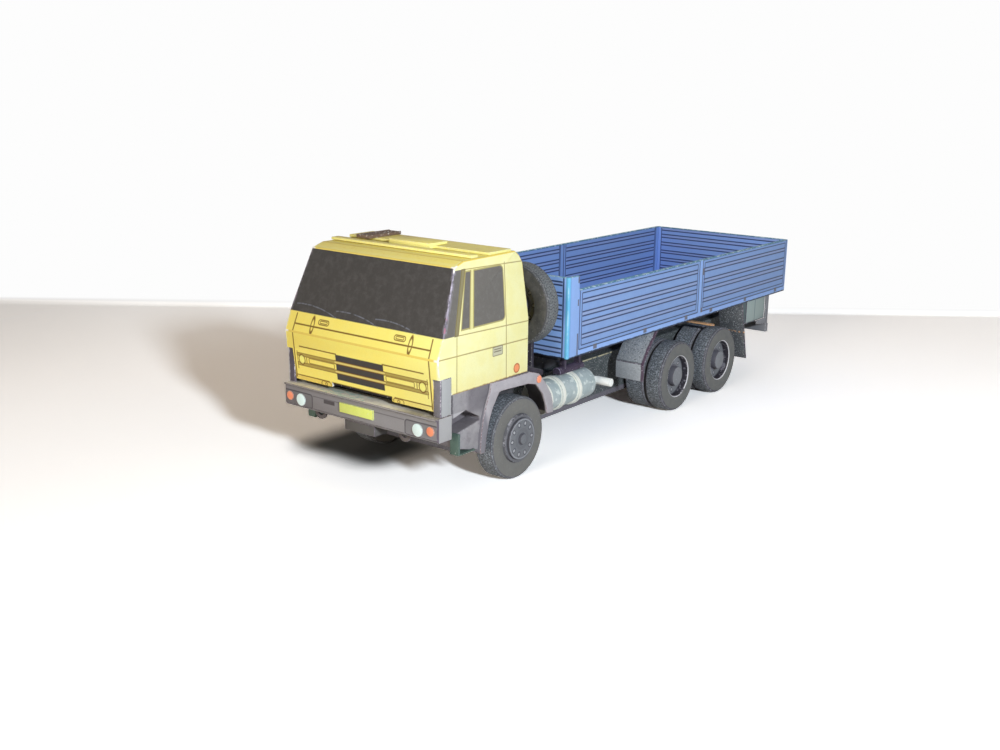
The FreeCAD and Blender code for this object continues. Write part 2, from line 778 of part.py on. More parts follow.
def build_steps():
    """Closed card housing behind each bumper end, with its foot slot and stirrup."""
    front = chassis_front + step_front_gap
    box_front = front + step_box_front
    slot = [(chassis_front + y, bumper_bottom + rise) for y, rise in step_slot]
    slot_foot, slot_head = slot[0][1], slot[-1][1]
    guard = guard_outer_line()
    head = guard.index(max(guard, key=lambda point: point.z))
    rear_line = [(point.y - seat_gap, point.z) for point in guard[1:head + 1]]
    outline = [(front, cab_floor_z), (front, slot_head), (box_front, slot_foot),
               (box_front, bumper_bottom - step_drop)]
    outline += rear_line + [(rear_line[-1][0], cab_floor_z)]
    body = prism(side_points(outline, guard_inner), Vec(step_face - guard_inner, 0, 0))
    opening = [(front - cut_past, slot_foot)] + slot + [(front - cut_past, slot_head)]
    left = body.cut(prism(side_points(opening, step_face - step_slot_depth),
                          Vec(step_slot_depth + cut_past, 0, 0)))
    emit("step_housings", left, mirrored(left))

    front = box_front - card
    rear = front + stirrup_length
    low = bumper_bottom - stirrup_drop
    strap = side_points((
        (front, slot_foot), (front, low), (rear, low), (rear, low + card / 2),
        (front + card, low + card / 2), (front + card, slot_foot)), bumper_half - stirrup_width)
    stirrup = prism(strap, Vec(stirrup_width, 0, 0)).cut(left)
    emit("stirrup_steps", stirrup, mirrored(stirrup))


# Silencer side and tank side

def build_exhaust():
    """Silencer of three card drums with proud bands, its brackets, the bent tailpipe
    and the small air tank that lies on the bands."""
    start = Vec(silencer_x, silencer_front, silencer_z)
    end = Vec(silencer_x, silencer_rear, silencer_z)
    profile = [(0, 0)]
    reach = 0
    for index, length in enumerate(silencer_drums):
        profile += [(band_radius, reach), (band_radius, reach + band_width),
                    (silencer_radius, reach + band_width), (silencer_radius - silencer_waist, reach + length)]
        reach += length
    profile.append((0, reach))
    silencer = turned(profile, start, Vec(0, 1, 0))
    emit("silencer", silencer)
    brackets = []
    for index in (1, 2):
        y = silencer_front + sum(silencer_drums[:index])
        bracket = block((chassis_half, silencer_x), (y, y + bracket_width),
                        (silencer_z - card, silencer_z + card))
        brackets.append(bracket.cut(rod(band_radius, start, end)))
    emit("tailpipe", tailpipe(end))

    tank_start = start + Vec(0, air_tank_back, air_tank_rise)
    tank = rod(air_tank_radius, tank_start, tank_start + Vec(0, air_tank_length, 0))
    tank = tank.cut(rod(band_radius + seat_gap, start, end))
    emit("air_tank", tank)
    straps = []
    for back in air_tank_straps:
        y = tank_start.y + back
        strap = block((silencer_x - strap_width, silencer_x + strap_width), (y, y + strap_width),
                      (tank_start.z, bed_bottom))
        straps.append(strap.cut(tank))
    emit("tank_brackets", *(brackets + straps))


def tailpipe(begin):
    """Pipe that leaves the silencer's rear end and turns outwards."""
    turn = math.radians(pipe_turn)
    bend_start = begin + Vec(0, pipe_lead, 0)

    def on_bend(angle):
        return bend_start + Vec(pipe_bend * (1 - math.cos(angle)), pipe_bend * math.sin(angle), 0)

    bend_end = on_bend(turn)
    straight = pipe_length - pipe_lead - pipe_bend * turn
    tip = bend_end + Vec(math.sin(turn), math.cos(turn), 0) * straight
    path = Part.Wire([
        Part.LineSegment(begin, bend_start).toShape(),
        Part.Arc(bend_start, on_bend(turn / 2), bend_end).toShape(),
        Part.LineSegment(bend_end, tip).toShape()])
    section = Part.Wire(Part.Circle(begin, Vec(0, 1, 0), pipe_radius).toShape())
    return path.makePipeShell([section], True, True)


def build_fuel_tank():
    """Box tank with rounded long edges on the right side of the chassis."""
    face = -chassis_half - fuel_tank_width
    foot = chassis_bottom + fuel_tank_rise
    tank = block((-chassis_half, face), (fuel_tank_front, fuel_tank_front + fuel_tank_length),
                 (foot, foot + fuel_tank_height))
    edges = [edge for edge in tank.Edges
             if abs(edge.tangentAt(edge.FirstParameter).y) > 0.9 and edge.CenterOfMass.x < face + card]
    emit("fuel_tank", tank.makeFillet(fuel_tank_corner, edges))


# Rear mudguards and underrun

def build_rear_guards():
    """Folded plate ahead of the rear wheels, flap behind them and the stay between."""
    plate_line = [(rear_axle_1 + y, bed_bottom - drop) for y, drop in rear_guard_line]
    flap_line_placed = [(rear_axle_2 + y, bed_bottom - drop) for y, drop in flap_line]
    plate = open_strip(plate_line, card, (rear_guard_inner, rear_guard_face))
    flap = open_strip(flap_line_placed, card, (rear_guard_face - flap_width, rear_guard_face))
    emit("rear_guard_plates", plate, mirrored(plate))
    emit("mudflaps", flap, mirrored(flap))
    stay_y = rear_axle_1 + stay_behind_axle
    stay_z = bed_bottom - stay_drop
    stay = block((bearer_inner + bearer_width, rear_guard_face), (stay_y, stay_y + stay_width),
                 (stay_z, stay_z + card))
    emit("rear_guard_stays", stay, mirrored(stay))


def build_rear_end():
    """Pale boxes under the bed's rear corners, lamp brackets, beam and lamps."""
    box_face = bed_half - rear_box_inset
    box_rear = chassis_rear - card
    box_bottom = bed_bottom - rear_box_height
    box = block((box_face - rear_box_width, box_face), (rear_axle_2 + rear_box_behind_axle, box_rear),
                (box_bottom, bed_bottom))
    beam_bottom = chassis_tail_z
    beam_top = beam_bottom + beam_height
    post_rear = box_rear + lamp_post_width
    gusset_front = box_rear - gusset_length
    bracket = prism(side_points((
        (box_rear, bed_bottom), (post_rear, bed_bottom), (post_rear, beam_top),
        (chassis_rear, beam_top), (gusset_front, beam_top + gusset_rise),
        (gusset_front, box_bottom), (box_rear, box_bottom)),
        beam_half - card), Vec(card, 0, 0))
    emit("rear_boxes", box, mirrored(box))
    emit("lamp_brackets", bracket, mirrored(bracket))
    beam_rear = chassis_rear + beam_thick
    emit("underrun_beam", block((-beam_half, beam_half), (chassis_rear, beam_rear),
                                (beam_bottom, beam_top)))
    lamp_outer = beam_half - rear_lamp_margin
    lamp = block((lamp_outer - rear_lamp_width, lamp_outer), (beam_rear, beam_rear + disc_thick),
                 (beam_bottom + rear_lamp_margin, beam_top - rear_lamp_margin))
    emit("rear_lamps", lamp, mirrored(lamp))


# Load bed

def rib_slots(x, y, heights, width):
    """Shallow cuts for a row of printed ribs, one block for each height."""
    return Part.makeCompound([block(x, y, (z, z + width)) for z in heights])


def board_rib_heights(count, top, pitch):
    return [top - index * pitch for index in range(count)]


def side_panel_spans():
    """Front and rear panel of a side board, between the posts."""
    front = bed_front + post_length + panel_margin
    rear = bed_rear - board_thick - panel_margin
    half_post = mid_post_width / 2 + panel_margin
    mid_post_y = bed_front + mid_post_back
    return ((front, mid_post_y - half_post), (mid_post_y + half_post, rear))


def build_bed():
    """Bed floor, headboard with its corner posts, ribbed side boards and tailgate."""
    inner_half = bed_half - board_thick
    rear_inner = bed_rear - board_thick
    emit("bed_floor", block((-inner_half, inner_half), (bed_front + board_thick, rear_inner),
                            (bed_bottom, bed_floor_top)))
    heights = board_rib_heights(board_rib_count, side_top - board_rib_drop - board_rib_width, board_rib_pitch)

    head = block((-bed_half, bed_half), (bed_front, bed_front + post_length), (bed_bottom, head_top))
    head = head.cut(block((-inner_half, inner_half), (bed_front + board_thick, bed_rear),
                          (bed_bottom - card, head_top + card)))
    head_rib_top = head_top - head_rib_drop - board_rib_width
    head_pitch = (head_rib_top - bed_bottom - head_rib_foot) / (head_rib_count - 1)
    head_heights = board_rib_heights(head_rib_count, head_rib_top, head_pitch)
    rib_half = bed_half - board_frame
    head = head.cut(rib_slots((-rib_half, rib_half), (bed_front, bed_front + print_sink),
                              head_heights, board_rib_width))
    emit("headboard", head)

    left = block((inner_half, bed_half), (bed_front + post_length, bed_rear), (bed_bottom, side_top))
    for span in side_panel_spans():
        left = left.cut(rib_slots((bed_half - print_sink, bed_half), span, heights, board_rib_width))
    emit("side_board_left", left)
    emit("side_board_right", mirrored(left))

    tail = block((-inner_half, inner_half), (rear_inner, bed_rear), (bed_bottom, side_top))
    rib_half = inner_half - board_frame
    tail = tail.cut(rib_slots((-rib_half, rib_half), (bed_rear - print_sink, bed_rear),
                              heights, board_rib_width))
    emit("tailgate", tail)


# Spare wheel

def build_spare_wheel():
    """Upright spare wheel behind the cab, glued to a post on a sloping card box."""
    front = cab_rear + spare_front_gap
    rear = front + spare_width
    spare_z = bed_bottom + spare_rise
    centre = Vec(spare_x, front, spare_z)
    forward = Vec(0, -1, 0)
    emit("spare_tyre", tyre(centre, forward, spare_width, rim_radius + seat_gap))
    profile = ((0, -spare_width), (rim_radius, -spare_width), (rim_radius, -rim_recess),
               (drum_radius, -rim_recess), (drum_radius, -drum_inset), (0, -drum_inset))
    emit("spare_rim", turned(profile, centre, forward))
    carrier_front = cab_rear + carrier_front_gap
    carrier_rear = bed_front - seat_gap
    carrier_bottom = silencer_z + band_radius + carrier_clear
    shelf = prism(side_points((
        (carrier_front, carrier_bottom), (carrier_front, cab_floor_z),
        (rear - carrier_post_thick, bed_bottom - cross_bearer_depth),
        (carrier_rear, bed_bottom - 2 * cross_bearer_depth),
        (carrier_rear, carrier_bottom)), carrier_inner), Vec(guard_inner - carrier_inner, 0, 0))
    foot = block((carrier_inner, chassis_half), (carrier_front, carrier_rear),
                 (chassis_top, carrier_bottom))
    post = block((spare_x - carrier_post_half, spare_x + carrier_post_half),
                 (rear, rear + carrier_post_thick), (carrier_bottom, spare_z + carrier_post_half))
    emit("spare_wheel_carrier", joined((shelf, foot, post)))


def main():
    os.makedirs("parts", exist_ok=True)
    build_wheels()
    build_chassis()
    build_supports()
    build_cab()
    build_roof_parts()
    build_bumper()
    build_front_guards()
    build_steps()
    build_exhaust()
    build_fuel_tank()
    build_rear_guards()
    build_rear_end()
    build_bed()
    build_spare_wheel()


main()
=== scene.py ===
"""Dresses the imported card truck: printed card finishes, soft folds, cut edges and a small studio."""

import math
from functools import reduce
from operator import or_

import bmesh
import bpy
from bpy.props import FloatProperty, FloatVectorProperty, IntProperty, PointerProperty
from mathutils import Matrix, Vector


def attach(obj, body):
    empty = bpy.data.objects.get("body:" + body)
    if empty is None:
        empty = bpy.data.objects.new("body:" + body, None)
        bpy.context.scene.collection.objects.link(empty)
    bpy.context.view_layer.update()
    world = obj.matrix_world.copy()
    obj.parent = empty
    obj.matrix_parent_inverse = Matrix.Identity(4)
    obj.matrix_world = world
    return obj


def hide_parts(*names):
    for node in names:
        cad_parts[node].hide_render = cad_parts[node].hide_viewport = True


bl_info = {
    "name": "Card Dropside Truck",
    "version": (1, 0, 0),
    "blender": (4, 5, 0),
    "location": "3D View > Sidebar > Card Truck",
    "description": "Printed card finishes and folded card pieces for a small dropside truck",
    "category": "Object",
}

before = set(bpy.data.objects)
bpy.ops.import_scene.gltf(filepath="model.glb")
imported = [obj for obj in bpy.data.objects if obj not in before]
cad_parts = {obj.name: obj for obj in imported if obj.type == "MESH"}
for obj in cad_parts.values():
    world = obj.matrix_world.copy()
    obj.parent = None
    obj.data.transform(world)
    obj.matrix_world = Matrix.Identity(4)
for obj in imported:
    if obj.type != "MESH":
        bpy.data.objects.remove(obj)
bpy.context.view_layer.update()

MM = 0.001
ORIGIN = (0.0, 0.0, 0.0)

# Places of the printed and folded lines, in millimetres of the part's own frame.
# A pair is a place seen from the side (y, z), or a span between two heights.
AXLE_Z = 5.15
FRONT_AXLE_Y = -28.76
REAR_AXLES = (("1", 10.06), ("2", 23.21))
CAB_HALF = 12.35
CAB_LEAN = 1.0 / 7.45
CAB_REAR = -27.49
CAB_FLOOR_Z = 13.35
CAB_MIDDLE = Vector((0.0, -35.5, 20.0))
FOOT = (-43.34, 11.6)
CREASE = (-43.99, 17.65)
SILL_Z = 19.95
SCREEN_FOOT = (-42.99, 20.1)
SCREEN_HEAD = (-40.04, 27.4)
ROOF_LIP = (-38.39, 27.95)
ROOF_Z = 28.05
ROOF_REAR = ((-28.99, 28.05), (-28.24, 27.5), (-27.73, 26.6))
CAB_LINE = (FOOT, CREASE, SCREEN_FOOT, SCREEN_HEAD, ROOF_LIP, *ROOF_REAR, (CAB_REAR, SILL_Z))
NOTCH_HALF = 4.9
NOTCH_TOP = 12.15
COVER = (11.28, -41.66, 15.45)
BUMPER_FACE = -43.5
BED_HALF = 12.5
BED_BOTTOM = 13.26
BED_FRONT = -19.45
BED_REAR = 44.39
SIDE_TOP = 21.9
HEAD_TOP = 23.7
BOARD = 0.55
POST_REAR = -16.99
SIDE_RIBS = ((15.5, 16.0), (17.11, 17.68), (18.4, 18.95), (20.08, 20.58))
INNER_RIBS = ((14.88, 15.38), (16.2, 16.7), (17.83, 18.31), (19.04, 19.56), (20.64, 21.18))
TAIL_RIBS = ((14.55, 15.05), (15.92, 16.4), (17.3, 17.75), (18.68, 19.2), (20.05, 20.6), (21.32, 21.86))
HEAD_RIBS = ((13.98, 14.54), (15.38, 15.94), (16.85, 17.34), (18.38, 18.8), (19.55, 20.13), (21.3, 21.7),
             (22.66, 23.08))
CLIP_PLACES = (-13.09, -0.59, 10.91, 18.51, 29.81, 40.81)
SILENCER_BANDS = (-21.81, -18.91, -15.26)
SPARE = (7.6, 20.4)

# Floor sheet, in metres: how far past the camera's foot it bends up, its size, and the bend.
SHEET_BEND = 0.237
SHEET_WIDTH = 2.4
SHEET_LENGTH = 1.2
SHEET_RISE = 0.9
BEND_RADIUS = 0.0015

# Shadow painted on the floor, in millimetres: its middle under the cab and its half sizes.
SHADOW_MIDDLE = (-11.0, -31.5)
SHADOW_HALF = (4.0, 3.0)
TRUCK_HALF = (14.0, 46.0)


# Settings

def printed(label, description, *rgb):
    """A colour setting, given as it looks on screen, 0 to 255."""
    return FloatVectorProperty(name=label, description=description, subtype="COLOR_GAMMA", size=3,
                               min=0.0, max=1.0, default=[part / 255 for part in rgb])


def length(label, description, default, low=0.0, high=1.0):
    """A length setting, in metres."""
    return FloatProperty(name=label, description=description, unit="LENGTH", subtype="DISTANCE",
                         default=default, min=low, max=high)


def angle(label, description, degrees):
    return FloatProperty(name=label, description=description, unit="ROTATION", subtype="ANGLE",
                         default=math.radians(degrees))


def number(label, description, default):
    return FloatProperty(name=label, description=description, default=default, min=0.0)


class CardColours(bpy.types.PropertyGroup):
    """Printed colours of the card sheets."""
    yellow: printed("Cab yellow", "Front of the cab", 255, 240, 124)
    # Painted highlight: the sides are the front's yellow printed paler, as the flash falls full on them.
    lit_side_yellow: printed("Side yellow", "Sides of the cab", 248, 243, 176)
    roof_yellow: printed("Roof yellow", "Roof of the cab and the tops of its ribs", 255, 238, 128)
    # Painted highlight: a paler copy of the roof yellow for faces that look ahead towards the flash.
    lit_roof_yellow: printed("Roof bright", "Folded faces of the roof that look ahead", 255, 250, 160)
    glass: printed("Screen charcoal", "Printed windscreen", 70, 68, 67)
    side_glass: printed("Window charcoal", "Printed side windows", 110, 107, 103)
    line_brown: printed("Line brown", "Printed panel lines of the cab", 116, 80, 32)
    blue: printed("Bed blue", "Outside of the load bed", 149, 183, 240)
    inner_blue: printed("Inner blue", "Inside of the load bed", 121, 153, 214)
    navy: printed("Line navy", "Printed lines outside on the load bed", 38, 44, 80)
    inner_navy: printed("Inner navy", "Printed lines inside the load bed", 44, 52, 92)
    grey: printed("Bumper grey", "Bumper", 142, 140, 142)
    light_grey: printed("Guard grey", "Mudguard bands", 170, 166, 172)
    dark: printed("Chassis grey", "Chassis and what hangs under the bed", 68, 74, 76)
    tyre: printed("Tyre grey", "Faces of the front tyres", 116, 116, 114)
    rear_tyre: printed("Rear tyre grey", "Faces of the rear tyres", 106, 108, 108)
    tread: printed("Tread", "Running surface of the tyres", 112, 118, 124)
    rim: printed("Rim grey", "Hubs and rims", 130, 133, 138)
    pale: printed("Pale grey-green", "Silencer", 182, 194, 196)
    raw: printed("Bare card", "Cut edges and unprinted card", 226, 224, 216)


class CardSizes(bpy.types.PropertyGroup):
    """Sizes of the folded card."""
    card: length("Card", "Thickness of the cab's card", 0.28 * MM, 0.1 * MM, 0.6 * MM)
    fold: length("Fold", "Radius of a folded edge", 0.13 * MM, 0.02 * MM, 0.4 * MM)
    fold_steps: IntProperty(name="Fold steps", description="Faces round a folded edge", default=3,
                            min=1, max=8)
    wear: FloatProperty(name="Wear", description="How much of each fold of the cab is rubbed off",
                        subtype="FACTOR", default=0.5, min=0.0, max=1.0)
    grain: length("Grain", "Relief of the card's fibres", 0.012 * MM, 0.0, 0.1 * MM)


class StudioSettings(bpy.types.PropertyGroup):
    """Camera and lamps."""
    camera_place: FloatVectorProperty(name="Camera", description="Place of the camera", unit="LENGTH",
                                      subtype="TRANSLATION", size=3, default=(0.0924, -0.13565, 0.04833))
    azimuth: angle("Azimuth", "Turn of the view from straight ahead", 37.93)
    elevation: angle("Elevation", "How far the camera looks down", 14.78)
    roll: angle("Roll", "Tilt of the camera's horizon", 0.74)
    lens: number("Lens", "Focal length in millimetres for a 36 mm sensor", 41.41)
    flash_azimuth: angle("Flash azimuth", "Turn of the flash from straight ahead", 59.0)
    flash_elevation: angle("Flash elevation", "Height of the flash as an angle", 22.0)
    flash_distance: length("Flash distance", "Distance of the flash from the truck", 0.3)
    flash_size: length("Flash size", "Width of the flash's disc", 0.03)
    flash_power: number("Flash", "Watts of the flash beside the camera", 0.7)
    fill_azimuth: angle("Fill azimuth", "Turn of the broad lamp from straight ahead", 4.0)
    fill_elevation: angle("Fill elevation", "Height of the broad lamp as an angle", 7.0)
    fill_distance: length("Fill distance", "Distance of the broad lamp from the truck", 0.5)
    fill_size: length("Fill size", "Width of the broad lamp's disc", 0.2)
    fill_power: number("Fill", "Watts of the broad lamp ahead of the truck", 1.05)
    sky: number("Room light", "Strength of the light from all round", 0.12)


# Shader helpers

def tone(colour):
    """Linear colour of a printed one, given by a setting's name or as 0 to 255 on screen."""
    if isinstance(colour, str):
        parts = getattr(bpy.context.scene.card_colours, colour)
    else:
        parts = [part / 255 for part in colour]
    return [part / 12.92 if part <= 0.04045 else ((part + 0.055) / 1.055) ** 2.4 for part in parts] + [1.0]


def union(masks):
    """One mask of many."""
    return reduce(or_, masks)


class Value:
    """A shader socket. An expression on values adds its Math nodes."""

    blur = 0.05

    def __init__(self, paint, socket):
        self.paint = paint
        self.socket = socket

    def __add__(self, other):
        return self.paint.math("ADD", self, other)

    def __sub__(self, other):
        return self.paint.math("SUBTRACT", self, other)

    def __rsub__(self, other):
        return self.paint.math("SUBTRACT", other, self)

    def __mul__(self, other):
        return self.paint.math("MULTIPLY", self, other)

    def __truediv__(self, other):
        return self.paint.math("DIVIDE", self, other)

    def __or__(self, other):
        """The union of two masks."""
        return self.paint.math("MAXIMUM", self, other)

    def __abs__(self):
        return self.paint.math("ABSOLUTE", self)

    __radd__ = __add__
    __rmul__ = __mul__

    def rise(self, low, high):
        """0 at low and 1 at high, smooth between them. It falls where low is above high."""
        made = self.paint.node("ShaderNodeMapRange", {"interpolation_type": "SMOOTHSTEP"},
                               {"Value": self, "From Min": low, "From Max": high})
        return Value(self.paint, made.outputs[0])

    def band(self, low, high):
        """1 between two values."""
        half = (high - low) / 2
        return abs(self - (low + high) / 2).rise(half + self.blur, half - self.blur)

    def below(self, limit):
        """1 where a distance is under the limit."""
        return self.rise(limit + self.blur, limit - self.blur)

    def length(self):
        return self.paint.vector("LENGTH", self)

    def outside(self, centre, half):
        """How far a place of a sheet lies outside an upright box with these half sizes."""
        away = self.paint.vector("ABSOLUTE", self.paint.vector("SUBTRACT", self, (*centre, 0.0)))
        beyond = self.paint.vector("SUBTRACT", away, (*half, 0.0))
        return self.paint.vector("MAXIMUM", beyond, ORIGIN).length()

    def gap(self, u, v, corner):
        """Distance from an upright box with rounded corners, below nothing just inside it."""
        centre = ((u[0] + u[1]) / 2, (v[0] + v[1]) / 2)
        return self.outside(centre, ((u[1] - u[0]) / 2 - corner, (v[1] - v[0]) / 2 - corner)) - corner

    def patch(self, u, v, corner=None):
        """A filled box on a sheet."""
        reach = min(u[1] - u[0], v[1] - v[0]) / 2
        return self.gap(u, v, min(self.blur, reach) if corner is None else corner).below(0.0)

    def outline(self, u, v, corner=0.16, line=0.12):
        """The outline of a box."""
        return abs(self.gap(u, v, corner)).below(line / 2)

    def stroke(self, start, end, line=0.12):
        """A straight line between two places of the sheet."""
        run = Vector((end[0] - start[0], end[1] - start[1], 0.0))
        along = self.paint.vector("SUBTRACT", self, (*start, 0.0))
        made = self.paint.node("ShaderNodeVectorMath", {"operation": "DOT_PRODUCT"},
                               {0: along, 1: tuple(run / run.length_squared)})
        share = self.paint.node("ShaderNodeClamp", inputs={0: Value(self.paint, made.outputs["Value"])})
        nearest = self.paint.vector("SCALE", tuple(run), scale=Value(self.paint, share.outputs[0]))
        return self.paint.vector("SUBTRACT", along, nearest).length().below(line / 2)

    def oval(self, centre, size):
        """Distance from a centre, which is 1 at the rim of an oval with these half sizes."""
        away = self.paint.vector("SUBTRACT", self, (*centre, 0.0))
        return self.paint.vector("DIVIDE", away, (*size, 1.0)).length()

    def ring(self, centre, size, line=0.14):
        """The outline of an oval."""
        return (abs(self.oval(centre, size) - 1.0) * size[0]).below(line / 2)


class Paint:
    """One procedural finish. Its print goes on in order, measured in millimetres."""

    def __init__(self, name, colour):
        self.material = bpy.data.materials.new(name)
        self.material.use_nodes = True
        self.tree = self.material.node_tree
        self.tree.nodes.clear()
        coordinates = self.node("ShaderNodeTexCoord")
        self.place = self.vector("SCALE", Value(self, coordinates.outputs["Object"]), scale=1 / MM)
        self.x, self.y, self.z = self.parts(self.place)
        self.colour = tone(colour)
        self.relief = None

    def node(self, kind, settings=None, inputs=None):
        """Add a node: its settings first, then the values or links of its sockets."""
        made = self.tree.nodes.new(kind)
        for key, setting in (settings or {}).items():
            setattr(made, key, setting)
        for key, entry in (inputs or {}).items():
            if isinstance(entry, Value):
                self.tree.links.new(entry.socket, made.inputs[key])
            else:
                made.inputs[key].default_value = entry
        return made

    def math(self, operation, first, second=None):
        inputs = {0: first} if second is None else {0: first, 1: second}
        return Value(self, self.node("ShaderNodeMath", {"operation": operation}, inputs).outputs[0])

    def vector(self, operation, first, second=None, scale=None):
        """Vector Math: the length comes out as a number, all else as a vector."""
        inputs = {0: first}
        if second is not None:
            inputs[1] = second
        if scale is not None:
            inputs["Scale"] = scale
        made = self.node("ShaderNodeVectorMath", {"operation": operation}, inputs)
        return Value(self, made.outputs["Value" if operation == "LENGTH" else "Vector"])

    def parts(self, vector):
        """The three numbers of a vector."""
        split = self.node("ShaderNodeSeparateXYZ", inputs={0: vector})
        return [Value(self, socket) for socket in split.outputs]

    def mix(self, factor, first, second, blend="MIX"):
        made = self.node("ShaderNodeMix", {"data_type": "RGBA", "blend_type": blend},
                         {0: factor, 6: first, 7: second})
        return Value(self, made.outputs[2])

    def flat(self, u, v, w=0.0):
        """Plane of a printed sheet, as a vector. Its third part is nothing unless given."""
        return Value(self, self.node("ShaderNodeCombineXYZ", inputs={0: u, 1: v, 2: w}).outputs[0])

    def noise(self, scale, detail=3.0, roughness=0.7, stretch=None, offset=None):
        """Cloudy value round 0.5, with scale counts in each millimetre."""
        where = self.place
        if offset:
            where = self.vector("ADD", where, offset)
        if stretch:
            where = self.vector("MULTIPLY", where, stretch)
        made = self.node("ShaderNodeTexNoise", inputs={
            "Vector": where, "Scale": scale, "Detail": detail, "Roughness": roughness})
        return Value(self, made.outputs[0])

    def specks(self, scale, share, stretch=None):
        """Scattered spots. A larger share gives more of them."""
        return self.noise(scale, 2.0, 0.6, stretch).rise(0.72 - 0.3 * share, 0.78 - 0.3 * share)

    def cover(self, mask, colour):
        """Print a colour where the mask is 1."""
        self.colour = self.mix(mask, self.colour, tone(colour))

    def mottle(self, scale, amount, colour):
        """Clouds of another tone in the print."""
        self.cover(self.noise(scale, 3.0, 0.6).rise(0.35, 0.68) * amount, colour)

    def raise_by(self, height):
        """Add to the relief, 1 for one card grain."""
        self.relief = height if self.relief is None else self.relief + height

    def finish(self, roughness=0.62, relief=1.0):
        """Card grain in tone, gloss and relief, and the shader itself."""
        fibre = self.noise(7.0, 3.0, 0.65)
        deeper = self.mix(1.0, self.colour, (0.66, 0.66, 0.66, 1.0), "MULTIPLY")
        self.colour = self.mix(0.14 * fibre.rise(0.3, 0.75), self.colour, deeper)
        self.raise_by(fibre)
        bump = self.node("ShaderNodeBump", inputs={
            "Strength": 1.0, "Distance": bpy.context.scene.card_sizes.grain * relief, "Height": self.relief})
        shader = self.node("ShaderNodeBsdfPrincipled", inputs={
            "Base Color": self.colour, "Roughness": roughness + 0.16 * (fibre - 0.5),
            "Specular IOR Level": 0.3, "Normal": Value(self, bump.outputs[0])})
        out = self.node("ShaderNodeOutputMaterial")
        self.tree.links.new(shader.outputs[0], out.inputs[0])
        return self.material


# Printed finishes of the cab
# A span that starts at -1 on the distance from the middle runs across the middle.

def front_print():
    """Front panel: windscreen, wipers, barred grille and the panel lines."""
    paint = Paint("front_print", "yellow")
    across = abs(paint.x)
    flat = paint.flat(across, paint.z)
    brown, olive = "line_brown", (178, 156, 84)
    # Painted shade: the front turns darker and more orange towards negative x, where the light falls off.
    paint.cover(0.25 * paint.x.rise(2.0, -12.0), (250, 214, 86))
    paint.cover(0.5 * paint.z.rise(12.3, 12.1), (214, 176, 78))
    # Painted highlight: the front turns paler towards positive x, nearer the light.
    paint.cover(0.45 * paint.x.rise(3.0, 12.0), (252, 252, 170))
    paint.mottle(0.9, 0.2, (252, 244, 150))
    crossbars = flat.patch((3.7, 10.4), (14.68, 15.04)) | flat.patch((3.7, 10.4), (13.48, 13.86))
    paint.cover(0.5 * crossbars, olive)
    fine = [flat.patch(*box) for box in (
        ((-1, 10.95), (18.51, 18.69)), ((-1, 12.6), (17.54, 17.73)), ((3.7, 10.1), (15.81, 15.97)),
        ((5.3, 10.95), (12.11, 12.25)), ((8.9, 9.02), (13.9, 14.65)), ((10.5, 10.6), (13.0, 15.3)))]
    fine += [flat.outline(*box, 0.1) for box in (
        ((3.0, 10.6), (14.68, 15.04), 0.05), ((3.0, 10.6), (13.48, 13.86), 0.05),
        ((4.2, 8.55), (13.96, 14.58), 0.12), ((5.55, 6.75), (19.12, 19.38), 0.13),
        ((5.1, 6.7), (11.4, 12.1), 0.3))]
    fine += [flat.outline((5.3, 7.0), (18.97, 19.52), 0.26), flat.ring((7.9, 18.73), (0.26, 0.88)),
             flat.ring((9.8, 14.25), (0.52, 0.62)), flat.ring((5.9, 11.78), (0.18, 0.18), 0.1),
             flat.stroke((10.9, 19.75), (10.98, 17.65), 0.18),
             flat.stroke((10.98, 17.65), (11.03, 11.9), 0.18)]
    paint.cover(0.95 * union(fine), brown)
    paint.cover(0.8 * flat.oval((9.8, 14.25), (0.42, 0.5)).below(1.0), (252, 250, 140))
    grille = flat.patch((-1, 3.88), (12.72, 15.84))
    paint.cover(grille, (66, 62, 60))
    for middle in (14.86, 13.7):
        bar = flat.patch((-1, 4.1), (middle - 0.24, middle + 0.24))
        paint.cover(bar, brown)
        paint.cover(flat.patch((-1, 4.1), (middle - 0.13, middle + 0.13)), (226, 208, 122))
    paint.cover(0.85 * flat.patch((-1, 4.9), (12.08, 12.24)), brown)
    screen = paint.z.band(19.98, 27.33)
    paint.cover(screen, "glass")
    paint.cover(0.35 * screen * paint.noise(1.1, 4.0, 0.7).rise(0.4, 0.75), (100, 98, 98))
    wipers = []
    for start, height in ((-11.5, 20.85), (-4.72, 20.76), (1.68, 20.7)):
        run = paint.x - start
        bow = run * (0.0935 - 0.03 * run)
        wipers.append(abs(paint.z - height - bow).rise(0.1, 0.02) * run.band(0.1, 7.2))
    paint.cover(0.42 * union(wipers) * paint.noise(2.2, 2.0, 0.5).rise(0.3, 0.55), (150, 158, 176))
    paint.cover(0.5 * paint.z.band(27.33, 27.46), brown)
    edge = across - CAB_HALF + CAB_LEAN * paint.math("MAXIMUM", paint.z - SILL_Z, 0.0)
    scuff = edge.rise(-0.42, -0.12) * paint.noise(1.0, stretch=(1.0, 1.0, 0.6)).rise(0.42, 0.56)
    paint.cover(0.5 * scuff * screen, (176, 170, 190))
    paint.cover(0.6 * scuff * (1.0 - screen), (254, 252, 236))
    return paint.finish()


